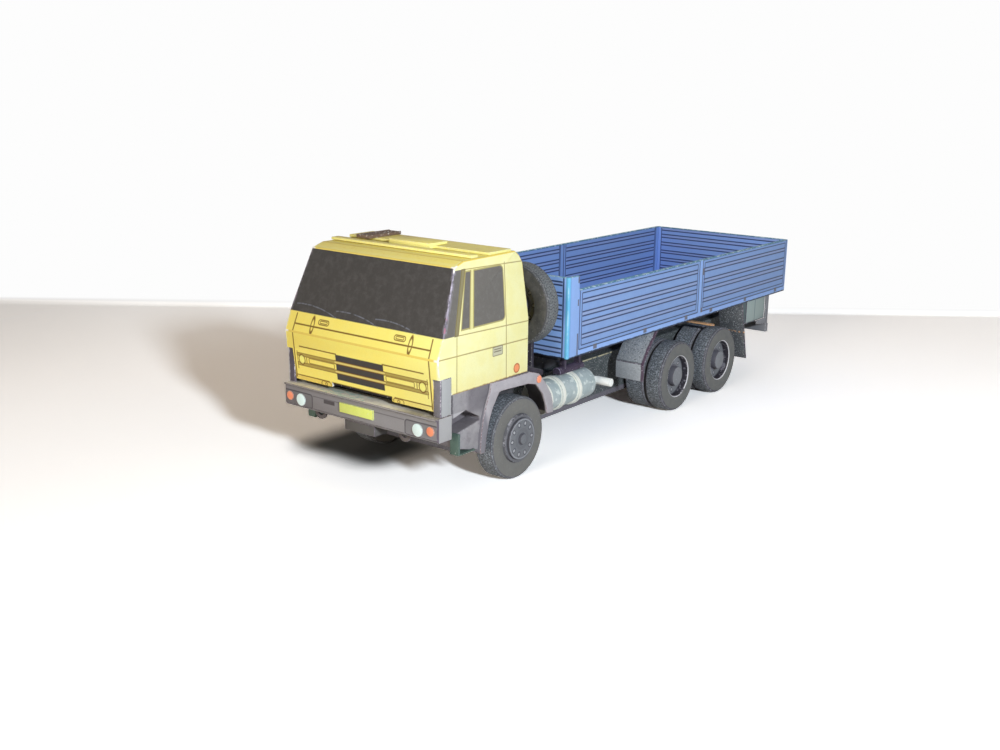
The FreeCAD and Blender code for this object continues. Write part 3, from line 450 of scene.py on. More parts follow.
def side_print():
    """Cab side: door lines, windows, handle and marker lamp."""
    # The side's yellow is a painted highlight: the front's yellow made paler where the flash falls.
    paint = Paint("side_print", "lit_side_yellow")
    flat = paint.flat(paint.y, paint.z)
    line = (150, 124, 62)
    paint.mottle(0.6, 0.3, (254, 255, 214))
    paint.cover(0.3 * paint.z.rise(15.5, 13.0), (238, 218, 132))
    tilt = (paint.y + 41.0) * 0.0255
    lines = [abs(paint.z - 17.66 + tilt * 0.6).below(0.07),
             abs(paint.z - 19.96 + tilt).below(0.06) * paint.y.rise(-41.3, -41.1),
             abs(paint.z - 27.08 + tilt).below(0.055) * paint.y.rise(-39.0, -38.8),
             flat.stroke((-31.2, 27.0), (-31.85, 19.9), 0.13),
             flat.stroke((-31.85, 19.9), (-31.72, 13.3), 0.13), flat.patch((-40.82, -40.69), (13.0, 19.9))]
    paint.cover(0.8 * union(lines), line)
    rise = paint.z - 20.0
    wrap_edge = paint.y + 41.16 - 0.318 * rise
    pane = paint.z.band(19.98, 27.05)
    wrap = wrap_edge.rise(0.05, -0.05) * pane
    strip = wrap_edge.band(0.0, 0.62) * paint.z.band(19.9, 27.1)
    paint.cover(0.9 * strip, (122, 113, 86))
    paint.cover(0.85 * (abs(wrap_edge - 0.66).below(0.08) | abs(wrap_edge - 0.06).below(0.07)) * pane,
                (118, 104, 62))
    head = paint.z.band(20.55, 26.68)
    quarter_front = paint.y + 39.98 - 0.262 * rise
    quarter_rear = paint.y + 38.6 - 0.178 * rise
    quarter = quarter_front.rise(-0.05, 0.05) * quarter_rear.rise(0.05, -0.05) * head
    window_front = paint.y + 37.78 - 0.16 * rise
    window_rear = paint.y + 32.1 - 0.072 * rise
    beyond = paint.flat(window_rear + 0.55, abs(paint.z - 23.6) - 2.53)
    corner = paint.vector("MAXIMUM", beyond, ORIGIN).length()
    window = window_front.rise(-0.05, 0.05) * corner.below(0.55) * paint.z.band(20.46, 26.74)
    post = quarter_rear.band(0.0, 0.92) * paint.z.band(20.3, 26.9)
    paint.cover(0.65 * post, (214, 206, 140))
    quarter_rim = quarter_front.rise(-0.2, -0.1) * quarter_rear.rise(0.2, 0.1) * paint.z.band(20.38, 26.85)
    window_rim = window_front.rise(-0.2, -0.1) * corner.below(0.7) * paint.z.band(20.3, 26.9)
    paint.cover(0.75 * (quarter_rim | window_rim), (150, 134, 74))
    glass = wrap | quarter | window
    paint.cover(glass, "side_glass")
    paint.cover(0.3 * glass * paint.noise(1.6, 4.0, 0.7).rise(0.45, 0.75), (138, 138, 136))
    edge = paint.y + 42.95 - 0.404 * rise
    scuff = edge.rise(0.55, 0.1) * paint.noise(1.0, stretch=(1.0, 1.0, 0.6)).rise(0.4, 0.55)
    paint.cover(0.5 * scuff * pane, (176, 170, 190))
    handle = flat.patch((-34.32, -32.5), (16.45, 17.5))
    paint.cover(handle, (206, 204, 178))
    paint.cover(0.9 * (flat.patch((-34.1, -32.7), (16.86, 17.0))
                       | flat.patch((-34.1, -32.7), (17.14, 17.26))
                       | flat.outline((-34.32, -32.5), (16.45, 17.5), 0.12, 0.1)), (120, 112, 92))
    lamp = flat.oval((-29.72, 14.2), (0.6, 0.6))
    paint.cover(lamp.below(1.0), (196, 116, 70))
    paint.cover(lamp.below(0.74), (250, 160, 112))
    ragged = paint.z - 0.25 * paint.noise(1.8, 2.0, 0.6)
    paint.cover(0.75 * ragged.rise(13.38, 13.26), (140, 86, 50))
    return paint.finish()


def roof_print(name="roof_print", front=False):
    """Roof: orange yellow on top, with a painted highlight on faces that look ahead and on the forward slope.
    """
    paint = Paint(name, "lit_roof_yellow" if front else "roof_yellow")
    paint.mottle(0.6, 0.35, (250, 236, 150))
    if not front:
        paint.cover(0.4 * paint.noise(1.9).rise(0.5, 0.8), (232, 190, 92))
        flat = paint.flat(abs(paint.x), paint.y)
        paint.cover(0.5 * flat.patch((-1, 11.2), (-38.45, -38.33)), (160, 124, 50))
        # Painted highlight on the forward slope above the windscreen.
        paint.cover(0.35 * paint.y.band(-40.1, -39.3), (252, 242, 160))
        paint.cover(0.5 * abs(paint.x).rise(10.7, 11.2), (252, 250, 184))
    return paint.finish(0.55)


def rear_wall_print():
    """Back of the cab: two small printed windows and a panel line."""
    paint = Paint("rear_wall_print", "yellow")
    flat = paint.flat(abs(paint.x), paint.z)
    paint.mottle(0.7, 0.3, (250, 240, 150))
    paint.cover(0.7 * (flat.outline((2.3, 7.9), (21.3, 25.7), 0.7, 0.12)
                       | flat.patch((-1, 12.4), (17.54, 17.66))), "line_brown")
    paint.cover(flat.patch((2.6, 7.6), (21.6, 25.4), 0.5), "side_glass")
    return paint.finish()


def fold_print():
    """Folded edges of the cab, where the print is rubbed off to the white card."""
    # Folds at the sides keep the paler side yellow, a painted highlight.
    paint = Paint("cab_fold_print", "lit_side_yellow")
    across = abs(paint.x)
    screen = paint.z.band(20.0, 27.2) * paint.y.rise(-38.6, -39.2)
    upright = across.rise(11.0, 11.3) * screen
    level = across.rise(11.95, 11.6)
    paint.cover(level, (238, 212, 104))
    paint.cover(level * paint.z.band(26.0, 27.46), (246, 222, 116))
    paint.cover(upright, (112, 108, 122))
    wear = bpy.context.scene.card_sizes.wear
    rubbed = paint.noise(0.9, offset=(3.1, 0.0, 0.0)).rise(0.62 - 0.3 * wear, 0.68 - 0.2 * wear)
    paint.cover(0.85 * rubbed * (1.0 - upright) * (1.0 - level), (254, 252, 226))
    high = paint.z.rise(21.0, 25.0) * 0.7 + 0.25
    paint.cover(high * upright * paint.noise(1.0).rise(0.32, 0.6), (206, 200, 220))
    paint.cover(0.6 * upright * paint.z.band(20.4, 22.3) * paint.noise(1.8, 2.0, 0.5).rise(0.5, 0.6),
                (196, 120, 146))
    for corner, x in ((CREASE, CAB_HALF), (SCREEN_HEAD, 11.4)):
        away = paint.vector("SUBTRACT", paint.flat(across, paint.y, paint.z), (x, *corner)).length()
        paint.cover(away.rise(0.75, 0.4), (255, 253, 244))
    return paint.finish(0.7)


def bare_card(name="bare_card"):
    """Unprinted card with a soft grey mottle."""
    paint = Paint(name, "raw")
    paint.mottle(0.8, 0.35, (196, 192, 182))
    return paint.finish(0.8)


# Printed finishes of the load bed

def ribbed(paint, value, pairs):
    """Masks of printed ribs: dark outlines and the pale gap between them."""
    dark, pale = [], []
    for low, high in pairs:
        dark += [abs(value - low).below(0.105), abs(value - high).below(0.105)]
        pale.append(value.band(low + 0.1, high - 0.1))
    return union(dark), union(pale)


def bed_print():
    """Side boards: printed ribs in framed panels, clips, rubbed top edge and dark foot."""
    paint = Paint("side_board_print", "blue")
    flat = paint.flat(paint.y, paint.z)
    inner = abs(paint.x).rise(BED_HALF - 0.2, BED_HALF - 0.35)
    paint.mottle(0.7, 0.3, (160, 198, 252))
    dark, pale = ribbed(paint, paint.z, SIDE_RIBS)
    panels = flat.patch((-16.25, 13.75), (14.6, 21.4)) | flat.patch((15.65, 43.4), (14.6, 21.4))
    paint.cover(0.6 * panels * pale, (176, 190, 226))
    boxes = [(run, (14.14, 21.84)) for run in ((-16.86, 14.33), (15.3, 43.95))]
    boxes += [(run, (14.62, 21.4)) for run in ((-16.36, 13.75), (15.85, 43.45))]
    frames = [flat.outline(*box, 0.1, 0.17) for box in boxes]
    paint.cover(0.92 * (panels * dark | union(frames)), "navy")
    outside = paint.colour
    paint.colour = tone("inner_blue")
    paint.mottle(0.8, 0.3, (126, 156, 218))
    dark, pale = ribbed(paint, paint.z, INNER_RIBS)
    fields = flat.patch((-18.4, 13.2), (13.9, 22.2)) | flat.patch((15.1, 42.5), (13.9, 22.2))
    paint.cover(0.5 * fields * pale, (140, 156, 204))
    posts = union([abs(paint.y - place).below(0.09) for place in (13.2, 13.45, 14.4, 14.95, 42.6, 42.9)])
    paint.cover(0.9 * (fields * dark | posts | abs(paint.z - 21.85).below(0.08)), "inner_navy")
    paint.colour = paint.mix(inner, outside, paint.colour)
    clips = [flat.patch((y - 0.42, y + 0.42), (13.6, 14.25)) for y in CLIP_PLACES]
    clips += [flat.patch((15.2, 15.75), span) for span in ((19.6, 20.6), (14.0, 14.7))]
    paint.cover(0.85 * (1.0 - inner) * union(clips), (104, 98, 100))
    edge_wear(paint, 13.42, SIDE_TOP)
    paint.cover(0.7 * paint.y.rise(BED_REAR - 0.2, BED_REAR - 0.05), (150, 170, 196))
    return paint.finish()


def edge_wear(paint, foot, top):
    """Ragged dark foot and rubbed cyan top of a board."""
    ragged = paint.z + 0.3 * (paint.noise(1.6) - 0.5)
    paint.cover(0.95 * ragged.rise(foot + 0.12, foot), (30, 34, 48))
    paint.cover(0.8 * ragged.rise(foot, foot - 0.08) * paint.specks(2.0, 0.25), (214, 224, 236))
    rim = ragged.rise(top - 0.14, top - 0.02)
    paint.cover(0.75 * rim, (98, 164, 190))
    paint.cover(0.75 * rim * paint.noise(1.5).rise(0.5, 0.6), (206, 228, 236))


def head_print():
    """Headboard with its corner posts: ribs in front, clips on the posts, and rubbed folds with a painted
    highlight along the corner.
    """
    paint = Paint("head_print", "blue")
    across = abs(paint.x)
    flat = paint.flat(across, paint.z)
    post = paint.flat(paint.y, paint.z)
    face = paint.y.rise(BED_FRONT + 0.3, BED_FRONT + 0.15)
    inner = paint.y.rise(BED_FRONT + 0.3, BED_FRONT + 0.45) * across.rise(BED_HALF - 0.2, BED_HALF - 0.35)
    # Painted light: the front face is printed a little paler than the bed blue, against the cab's shade on
    # it.
    paint.cover(face, (150, 190, 252))
    paint.cover(inner, "inner_blue")
    paint.mottle(0.8, 0.3, (150, 188, 248))
    dark, pale = ribbed(paint, paint.z, HEAD_RIBS)
    ribs = flat.patch((-1, 11.55), (13.3, 23.3)) * (face | inner)
    paint.cover(0.5 * ribs * pale, (160, 176, 222))
    uprights = abs(across - 11.7).below(0.11) | abs(across - 12.2).below(0.09)
    paint.cover(0.92 * (ribs * dark | face * uprights), "navy")
    side = across.rise(BED_HALF - 0.16, BED_HALF - 0.08)
    spans = ((22.8, 23.7), (19.85, 20.7), (13.5, 16.3))
    clips = union([post.patch((-17.36, -17.0), span) for span in spans])
    paint.cover(0.85 * side * clips, (104, 98, 106))
    edge_wear(paint, 13.38, HEAD_TOP)
    strip = paint.flat(across - BED_HALF, paint.y - BED_FRONT)
    corner = strip.length()
    paint.cover(0.9 * corner.rise(0.5, 0.3), (108, 196, 238))
    # White along the corner fold: partly rubbed card, partly painted highlight.
    ridge_scuff_and_highlight = corner.rise(0.2, 0.06) * paint.noise(0.7, 3.0, 0.6).rise(0.4, 0.62)
    paint.cover(0.5 * ridge_scuff_and_highlight, (206, 240, 250))
    paint.cover(0.5 * (paint.y - BED_FRONT).band(0.42, 0.6) * side, (92, 150, 206))
    return paint.finish()


def tail_print():
    """Tailgate: ribs across, a frame and rubbed edges."""
    paint = Paint("tail_print", "blue")
    flat = paint.flat(paint.x, paint.z)
    inner = paint.y.rise(BED_REAR - 0.2, BED_REAR - 0.35)
    # Painted light: the inside is printed paler than the other boards' inner blue, as it faces the light.
    paint.cover(inner, (142, 177, 244))
    paint.mottle(0.8, 0.3, (140, 172, 232))
    for ribs, half, mask in ((SIDE_RIBS, 10.9, 1.0 - inner), (TAIL_RIBS, 11.3, inner)):
        dark, pale = ribbed(paint, paint.z, ribs)
        field = flat.patch((-half, half), (14.4, 22.0)) * mask
        paint.cover(0.5 * field * pale, (156, 172, 218))
        rim = flat.outline((-half, half), (14.3, 21.95), 0.1, 0.15) * mask
        paint.cover(0.92 * (field * dark | rim), "inner_navy")
    edge_wear(paint, 13.42, SIDE_TOP)
    return paint.finish()


def bed_floor_print():
    """Bed floor: printed planks along the bed."""
    paint = Paint("bed_floor_print", "inner_blue")
    paint.mottle(0.8, 0.4, (86, 112, 178))
    plank = paint.math("PINGPONG", paint.x, 1.0)
    paint.cover(0.85 * plank.below(0.07), "inner_navy")
    return paint.finish()


# Finishes of the grey and dark parts

def grey_print(name, colour, light, specks=0.3):
    """Plain grey print with clouds and small pale and dark specks."""
    paint = Paint(name, colour)
    paint.mottle(0.9, 0.4, light)
    paint.cover(0.5 * paint.specks(5.0, specks), (200, 202, 206))
    paint.cover(0.5 * paint.specks(4.3, specks, (1.0, 0.8, 1.2)), (40, 40, 46))
    return paint


def edge_print(name, colour, fleck, share=0.5):
    """Folded and cut edges: a dark or pale edge with rubbed flecks."""
    paint = Paint(name, colour)
    flecks = paint.noise(2.6, 4.0, 0.75, offset=(5.0, 2.0, 1.0))
    paint.cover(0.75 * flecks.rise(0.64 - 0.3 * share, 0.76 - 0.3 * share), fleck)
    return paint.finish(0.7)


def bumper_print():
    """Bumper: lamp boxes, slot, seam, pale sides, and a top painted light against the shade under the cab
    front, with greenish marks in the middle.
    """
    paint = grey_print("bumper_print", "grey", (148, 146, 150), 0.04)
    across = abs(paint.x)
    flat = paint.flat(across, paint.z)
    front = paint.y.rise(-43.9, -44.1)
    # Painted shade: the front darkens towards negative x, where the light falls off.
    paint.cover(0.35 * front * paint.x.rise(4.0, -12.0), (100, 94, 100))
    paint.cover(0.75 * front * flat.outline((7.6, 12.6), (8.5, 10.25), 0.35, 0.16), (48, 44, 52))
    paint.cover(0.35 * front * flat.patch((7.6, 12.6), (8.5, 10.25), 0.35), (92, 90, 96))
    single = paint.flat(paint.x, paint.z)
    paint.cover(0.85 * front * single.patch((-5.6, -3.75), (9.62, 10.1)), (62, 56, 60))
    paint.cover(0.55 * front * flat.patch((-1, 7.5), (10.1, 10.22)), (70, 64, 72))
    side = across.rise(12.34, 12.39)
    paint.cover(0.85 * side, (180, 180, 182))
    paint.cover(0.8 * side * paint.y.rise(-43.75, -43.95), (70, 52, 72))
    # Painted light: the top is printed pale against the shade under the cab front, and darker towards
    # positive x.
    top = paint.z.rise(11.0, 11.06)
    paint.cover(top, (232, 226, 210))
    paint.cover(top * paint.x.rise(4.0, 9.0), (150, 143, 128))
    paint.cover(0.5 * top * paint.noise(0.8).rise(0.5, 0.6), (196, 190, 182))
    middle = top * paint.x.band(-6.5, 1.0) * paint.noise(1.6, stretch=(0.5, 1.6, 1.0)).rise(0.5, 0.58)
    paint.cover(0.7 * middle, (176, 208, 196))
    return paint.finish()


def cover_print():
    """Corner cover: dark front wing, pale side wing and a white rubbed fold."""
    paint = grey_print("cover_print", (120, 118, 124), (142, 138, 148), 0.1)
    side = abs(paint.x).rise(12.25, 12.34)
    paint.cover(side, (178, 180, 182))
    paint.cover(0.8 * side * (paint.y + 0.3 * paint.noise(1.6, 2.0, 0.5)).rise(-43.1, -43.3), (84, 76, 92))
    left = paint.x.rise(-11.0, -11.2)
    paint.cover(left, (84, 78, 90))
    outer = (paint.x + 0.5 * paint.noise(0.9)).rise(-11.85, -11.95)
    paint.cover(0.85 * left * outer, (212, 212, 220))
    return paint.finish()


def guard_print():
    """Front mudguard: light band, painted shade inside the arch, darker on the front leg."""
    paint = grey_print("guard_print", "light_grey", (188, 184, 190), 0.06)
    # Painted shade inside the arch.
    inside = abs(paint.x).rise(12.3, 12.1)
    paint.cover(inside, (104, 102, 108))
    slope = paint.y + 0.3 * (paint.z - 8.0)
    paint.cover(0.9 * slope.rise(-34.6, -35.4), (124, 122, 130))
    return paint.finish()


def step_print():
    """Step housing: grey sides with a dark foot slot."""
    paint = grey_print("step_print", (148, 145, 149), (172, 170, 174), 0.06)
    paint.cover(0.5 * paint.noise(0.7, 4.0, 0.7).rise(0.52, 0.68), (118, 112, 120))
    paint.cover(0.6 * paint.y.rise(-39.0, -38.0) * paint.z.rise(9.8, 10.8), (104, 100, 108))
    inside = abs(paint.x).rise(12.0, 11.85)
    paint.cover(0.7 * inside, (92, 86, 92))
    flat = paint.flat(paint.y, paint.z)
    paint.cover(0.7 * flat.patch((-41.4, -38.7), (10.5, 10.95)), (196, 194, 198))
    return paint.finish()


def chassis_print():
    """Chassis: speckled dark grey, a purple-grey foot of painted shadow and a broken cream top line."""
    paint = grey_print("chassis_print", "dark", (96, 104, 104), 0.45)
    # Painted shadow: a purple-grey strip along the foot, in the tone of the floor's shadow beneath.
    paint.cover(0.75 * paint.z.rise(3.82, 3.72), (112, 108, 118))
    flat = paint.flat(paint.y, paint.z)
    dash = flat.patch((-8.0, 2.0), (9.2, 9.36)) * paint.noise(1.2, 2.0, 0.5).rise(0.42, 0.5)
    paint.cover(0.8 * dash, (206, 198, 160))
    return paint.finish()


def wheel_ring(paint, upright, y, z):
    """Radius and turn round a wheel's axle, and the place along it."""
    u, along = (paint.x, paint.y) if upright else (paint.y, paint.x)
    away = paint.vector("SUBTRACT", paint.flat(u, paint.z), (y, z, 0.0))
    right, up, _ = paint.parts(away)
    return away.length(), paint.math("ARCTAN2", up, right), along


def tyre_print(name, y, z, face, tread, upright=False, hole=None):
    """Tyre: plain grey face, finely speckled tread and a dark wall of the hole."""
    paint = Paint(name, face)
    rubbed = 0.3 if upright else 1.0
    radius, turn, along = wheel_ring(paint, upright, y, z)
    paint.mottle(1.0, 0.3, (128, 126, 120))
    paint.cover(0.4 * paint.specks(5.0, 0.2), (160, 158, 160))
    running = radius.rise(4.96, 5.06)
    paint.cover(running, tread)
    blocks = paint.math("PINGPONG", turn * AXLE_Z * 1.6 + 0.8 * paint.math("PINGPONG", along, 0.5), 0.3)
    paint.cover(0.55 * running * (blocks + 1.1 * (paint.noise(3.4, 4.0, 0.75) - 0.5)).rise(0.14, 0.26),
                (40, 42, 50))
    paint.cover(0.8 * rubbed * running * paint.specks(4.2, 0.6), (158, 164, 174))
    paint.cover(0.6 * rubbed * running * paint.specks(2.1, 0.05, (1.3, 1.0, 1.0)), (206, 210, 218))
    paint.cover(0.5 * radius.band(4.9, 5.0), (84, 82, 90))
    paint.raise_by(1.5 * running * paint.noise(3.4, 4.0, 0.75))
    if hole:
        wall = radius.below(3.08) * abs(along).rise(hole - 0.05, hole - 0.12)
        paint.cover(wall, (52, 50, 58))
        paint.cover(0.6 * wall * paint.noise(0.8).rise(0.5, 0.6), (150, 148, 158))
    return paint.finish(0.75)


def tyre_edge_print(name, y, z):
    """Folded edges of a rear tyre: a dark shoulder, and a rubbed white rim of the hole."""
    paint = Paint(name, (84, 82, 90))
    radius, _, along = wheel_ring(paint, False, y, z)
    paint.cover(0.5 * paint.noise(1.9).rise(0.5, 0.6), (132, 130, 138))
    paint.cover(0.6 * paint.specks(1.6, 0.2), (190, 190, 198))
    ring = radius.rise(3.5, 3.3) * abs(along).rise(12.0, 12.08)
    paint.cover(0.92 * ring * paint.noise(0.5).rise(0.34, 0.44), (232, 232, 238))
    return paint.finish(0.75)


def hub_print(name, y, z, front=False, upright=False):
    """Printed wheel centre: ring of nuts, cap and dark outline, and on the front hubs a ring of painted shade
    at the raised disc.
    """
    paint = Paint(name, "rim")
    radius, turn, _ = wheel_ring(paint, upright, y, z)
    paint.mottle(1.2, 0.4, (112, 116, 122))
    paint.cover(0.5 * paint.specks(3.0, 0.25), (176, 178, 190))
    count, ring = (10, 1.95) if front else (8, 2.2)
    beside = paint.math("PINGPONG", turn, math.pi / count) * radius
    nut = paint.vector("DIVIDE", paint.flat(beside, radius - ring), (0.27, 0.34, 1.0)).length()
    paint.cover(0.8 * nut.rise(1.25, 0.95), (66, 64, 76))
    paint.cover(0.9 * nut.rise(0.75, 0.5), (176, 178, 182))
    if front:
        paint.cover(0.75 * abs(radius - 0.7).below(0.11), (76, 74, 84))
        paint.cover(0.5 * radius.band(0.95, 1.35), (104, 106, 112))
        paint.cover(0.4 * nut.rise(0.8, 1.0), (84, 86, 92))
        # The darkest ring, from 2.56 to 2.64, is painted shade at the wall of the raised disc.
        for amount, span, colour in ((0.8, (2.56, 2.64), (54, 52, 60)), (0.7, (2.64, 3.05), (98, 98, 104)),
                                     (0.5, (2.36, 2.5), (176, 178, 186))):
            paint.cover(amount * radius.band(*span), colour)
        paint.cover(0.6 * radius.band(2.9, 3.1) * paint.noise(1.1).rise(0.5, 0.6), (200, 200, 208))
    else:
        paint.cover(0.7 * radius.band(1.36, 1.7), (84, 82, 94))
        paint.cover(0.6 * radius.rise(2.72, 2.85), (50, 48, 58))
    return paint.finish()


def silencer_print():
    """Silencer: pale grey-green drums with cream bands, partly painted highlight, and dark nicks."""
    paint = Paint("silencer_print", "pale")
    paint.mottle(0.7, 0.6, (150, 168, 172))
    paint.cover(0.6 * paint.specks(1.3, 0.5), (232, 240, 236))
    for start in SILENCER_BANDS:
        # Cream bands: partly their own tone, partly painted highlight on the raised bands.
        paint.cover(0.85 * paint.y.band(start - 0.05, start + 0.8), (246, 246, 236))
        paint.cover(0.7 * paint.y.band(start + 0.76, start + 0.92), (96, 112, 116))
    paint.cover(0.7 * (paint.z + 0.5 * paint.noise(1.5, 2.0, 0.5)).rise(6.9, 6.5) * paint.specks(1.6, 0.3),
                (70, 78, 82))
    return paint.finish(0.5, relief=1.5)


def plain_print(name, colour, cloud, roughness=0.65, specks=0.1):
    """A single printed tone with clouds and a few rubbed specks."""
    paint = Paint(name, colour)
    paint.mottle(0.9, 0.4, cloud)
    paint.cover(0.7 * paint.specks(3.4, specks), (230, 230, 226))
    return paint.finish(roughness)


def plate_card_print():
    """Rear mudguard plate: speckled grey, one dark fold line and a purple outer edge."""
    paint = grey_print("guard_plate_print", (146, 152, 158), (164, 170, 176), 0.55)
    paint.cover(0.45 * paint.z.rise(9.08, 9.0), (196, 202, 208))
    paint.cover(0.7 * abs(paint.z - 9.02).below(0.07), (50, 54, 60))
    outer = (abs(paint.x) + 0.2 * paint.noise(1.5, 2.0, 0.5)).rise(12.0, 12.1)
    paint.cover(0.9 * outer, (78, 54, 74))
    paint.cover(0.8 * outer * paint.specks(1.8, 0.3), (214, 206, 220))
    return paint.finish()


def flap_print():
    """Mudflap: dark speckled card with an orange and white fold line."""
    paint = grey_print("mudflap_print", (92, 96, 100), (118, 122, 126), 0.5)
    fold = abs(paint.z - 8.3).below(0.12)
    paint.cover(fold * paint.noise(1.6, 2.0, 0.5).rise(0.45, 0.55), (226, 176, 130))
    return paint.finish()


def rear_box_print():
    """Pale boxes at the back: grey-green with dark outlines."""
    paint = Paint("rear_box_print", (206, 224, 220))
    paint.mottle(0.8, 0.4, (206, 226, 220))
    flat = paint.flat(paint.y, paint.z)
    paint.cover(0.8 * flat.outline((31.7, 38.1), (9.6, 13.2), 0.1, 0.22), (60, 70, 80))
    paint.cover(0.6 * flat.patch((34.6, 34.8), (9.6, 13.2)), (70, 84, 92))
    return paint.finish()


# Modelling helpers

def deselect():
    if bpy.context.object and bpy.context.object.mode != "OBJECT":
        bpy.ops.object.mode_set(mode="OBJECT")
    bpy.ops.object.select_all(action="DESELECT")


def start_box(name, low, high, finishes):
    """Cube primitive between two corners, in millimetres, left open in edit mode."""
    deselect()
    low, high = Vector(low) * MM, Vector(high) * MM
    bpy.ops.mesh.primitive_cube_add(size=1.0, location=(low + high) / 2, scale=high - low)
    piece = bpy.context.object
    piece.name = name
    bpy.ops.object.transform_apply(location=True, rotation=True, scale=True)
    for finish in finishes:
        piece.data.materials.append(finish)
    bpy.ops.object.mode_set(mode="EDIT")
    bpy.ops.mesh.select_all(action="SELECT")
    return piece


def take(name, node, finishes):
    """Copy of a CAD node with welded corners and whole faces, left open in edit mode."""
    deselect()
    bpy.ops.object.add(type="MESH", location=(0.0, 0.0, 0.0))
    piece = bpy.context.object
    piece.name = name
    mesh = bmesh.new()
    mesh.from_mesh(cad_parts[node].data)
    for face in mesh.faces:
        face.material_index = 0
    mesh.to_mesh(piece.data)
    mesh.free()
    piece.data.materials.clear()
    for finish in finishes:
        piece.data.materials.append(finish)
    bpy.ops.object.mode_set(mode="EDIT")
    bpy.ops.mesh.select_all(action="SELECT")
    bpy.ops.mesh.remove_doubles(threshold=1e-6)
    bpy.ops.mesh.dissolve_limited(angle_limit=math.radians(1.0))
    return piece


def slice_off(place, normal, keep_all=False):
    """Bisect all of the open piece, and drop what lies ahead of the plane."""
    bpy.ops.mesh.select_all(action="SELECT")
    bpy.ops.mesh.bisect(plane_co=Vector(place) * MM, plane_no=normal, use_fill=not keep_all,
                        clear_outer=not keep_all, threshold=1e-7)


def pick(piece, kind, test):
    """Select faces or edges of the open piece by their middle, in millimetres, and normals."""
    mesh = bmesh.from_edit_mesh(piece.data)
    bpy.ops.mesh.select_all(action="DESELECT")
    mesh.select_mode = {kind}
    count = 0
    for part in (mesh.faces if kind == "FACE" else mesh.edges):
        if kind == "FACE":
            chosen = test(part.calc_center_median() / MM, part.normal)
        else:
            middle = (part.verts[0].co + part.verts[1].co) / (2 * MM)
            chosen = (len(part.link_faces) == 2 and part.is_convex
                      and test(middle, part.link_faces[0].normal, part.link_faces[1].normal))
        if chosen:
            part.select_set(True)
            count += 1
    mesh.select_flush_mode()
    bmesh.update_edit_mesh(piece.data)
    if not count:
        raise RuntimeError("nothing was selected on " + piece.name)


def round_folds(piece, width, least=25.0, steps=2):
    """Round the outward folds of the open piece. The rounded faces get its second finish."""
    pick(piece, "EDGE", lambda place, first, second: first.angle(second) > math.radians(least))
    bpy.ops.mesh.bevel(offset=width * MM, offset_type="OFFSET", segments=steps, affect="EDGES",
                       clamp_overlap=True, material=1)


def close_piece(piece):
    """Leave edit mode and shade folds smooth."""
    bpy.ops.object.mode_set(mode="OBJECT")
    deselect()
    piece.select_set(True)
    bpy.context.view_layer.objects.active = piece
    bpy.ops.object.shade_smooth_by_angle(angle=math.radians(30.0))
    return piece


def settle(piece, slot, *nodes, body="truck"):
    """Attach the piece to the body it rides on and hide the solids it stands for. Its finish slot is not
    used.
    """
    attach(piece, body)
    if nodes:
        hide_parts(*nodes)


def fold_card(node, slot, finishes, width=0.06, least=25.0, body="truck"):
    """A CAD node's shape with soft folds and its own finish on them."""
    piece = take(node + "_card", node, finishes)
    round_folds(piece, width, least)
    close_piece(piece)
    settle(piece, slot, node, body=body)
    return piece


def plain_card(node, slot, name, colour, cloud, edge, width=0.06, least=25.0, **more):
    """A folded CAD node in a single printed tone."""
    return fold_card(node, slot, (plain_print(name, colour, cloud, **more), edge), width, least)


def coat(material, *nodes):
    """Give CAD nodes a finish."""
    for name in nodes:
        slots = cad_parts[name].data.materials
        slots.clear()
        slots.append(material)


def normal_between(first, second):
    """Outward normal of the cab's skin between two side view points, front to back over the roof."""
    run = Vector((0.0, second[0] - first[0], second[1] - first[1]))
    return Vector((0.0, -run.z, run.y)).normalized()


# Cab

# Places of the finishes in the cab skin's list, after that of its front.
SIDE_FINISH, ROOF_FINISH, REAR_FINISH, FOLD_FINISH, BARE_FINISH = range(1, 6)


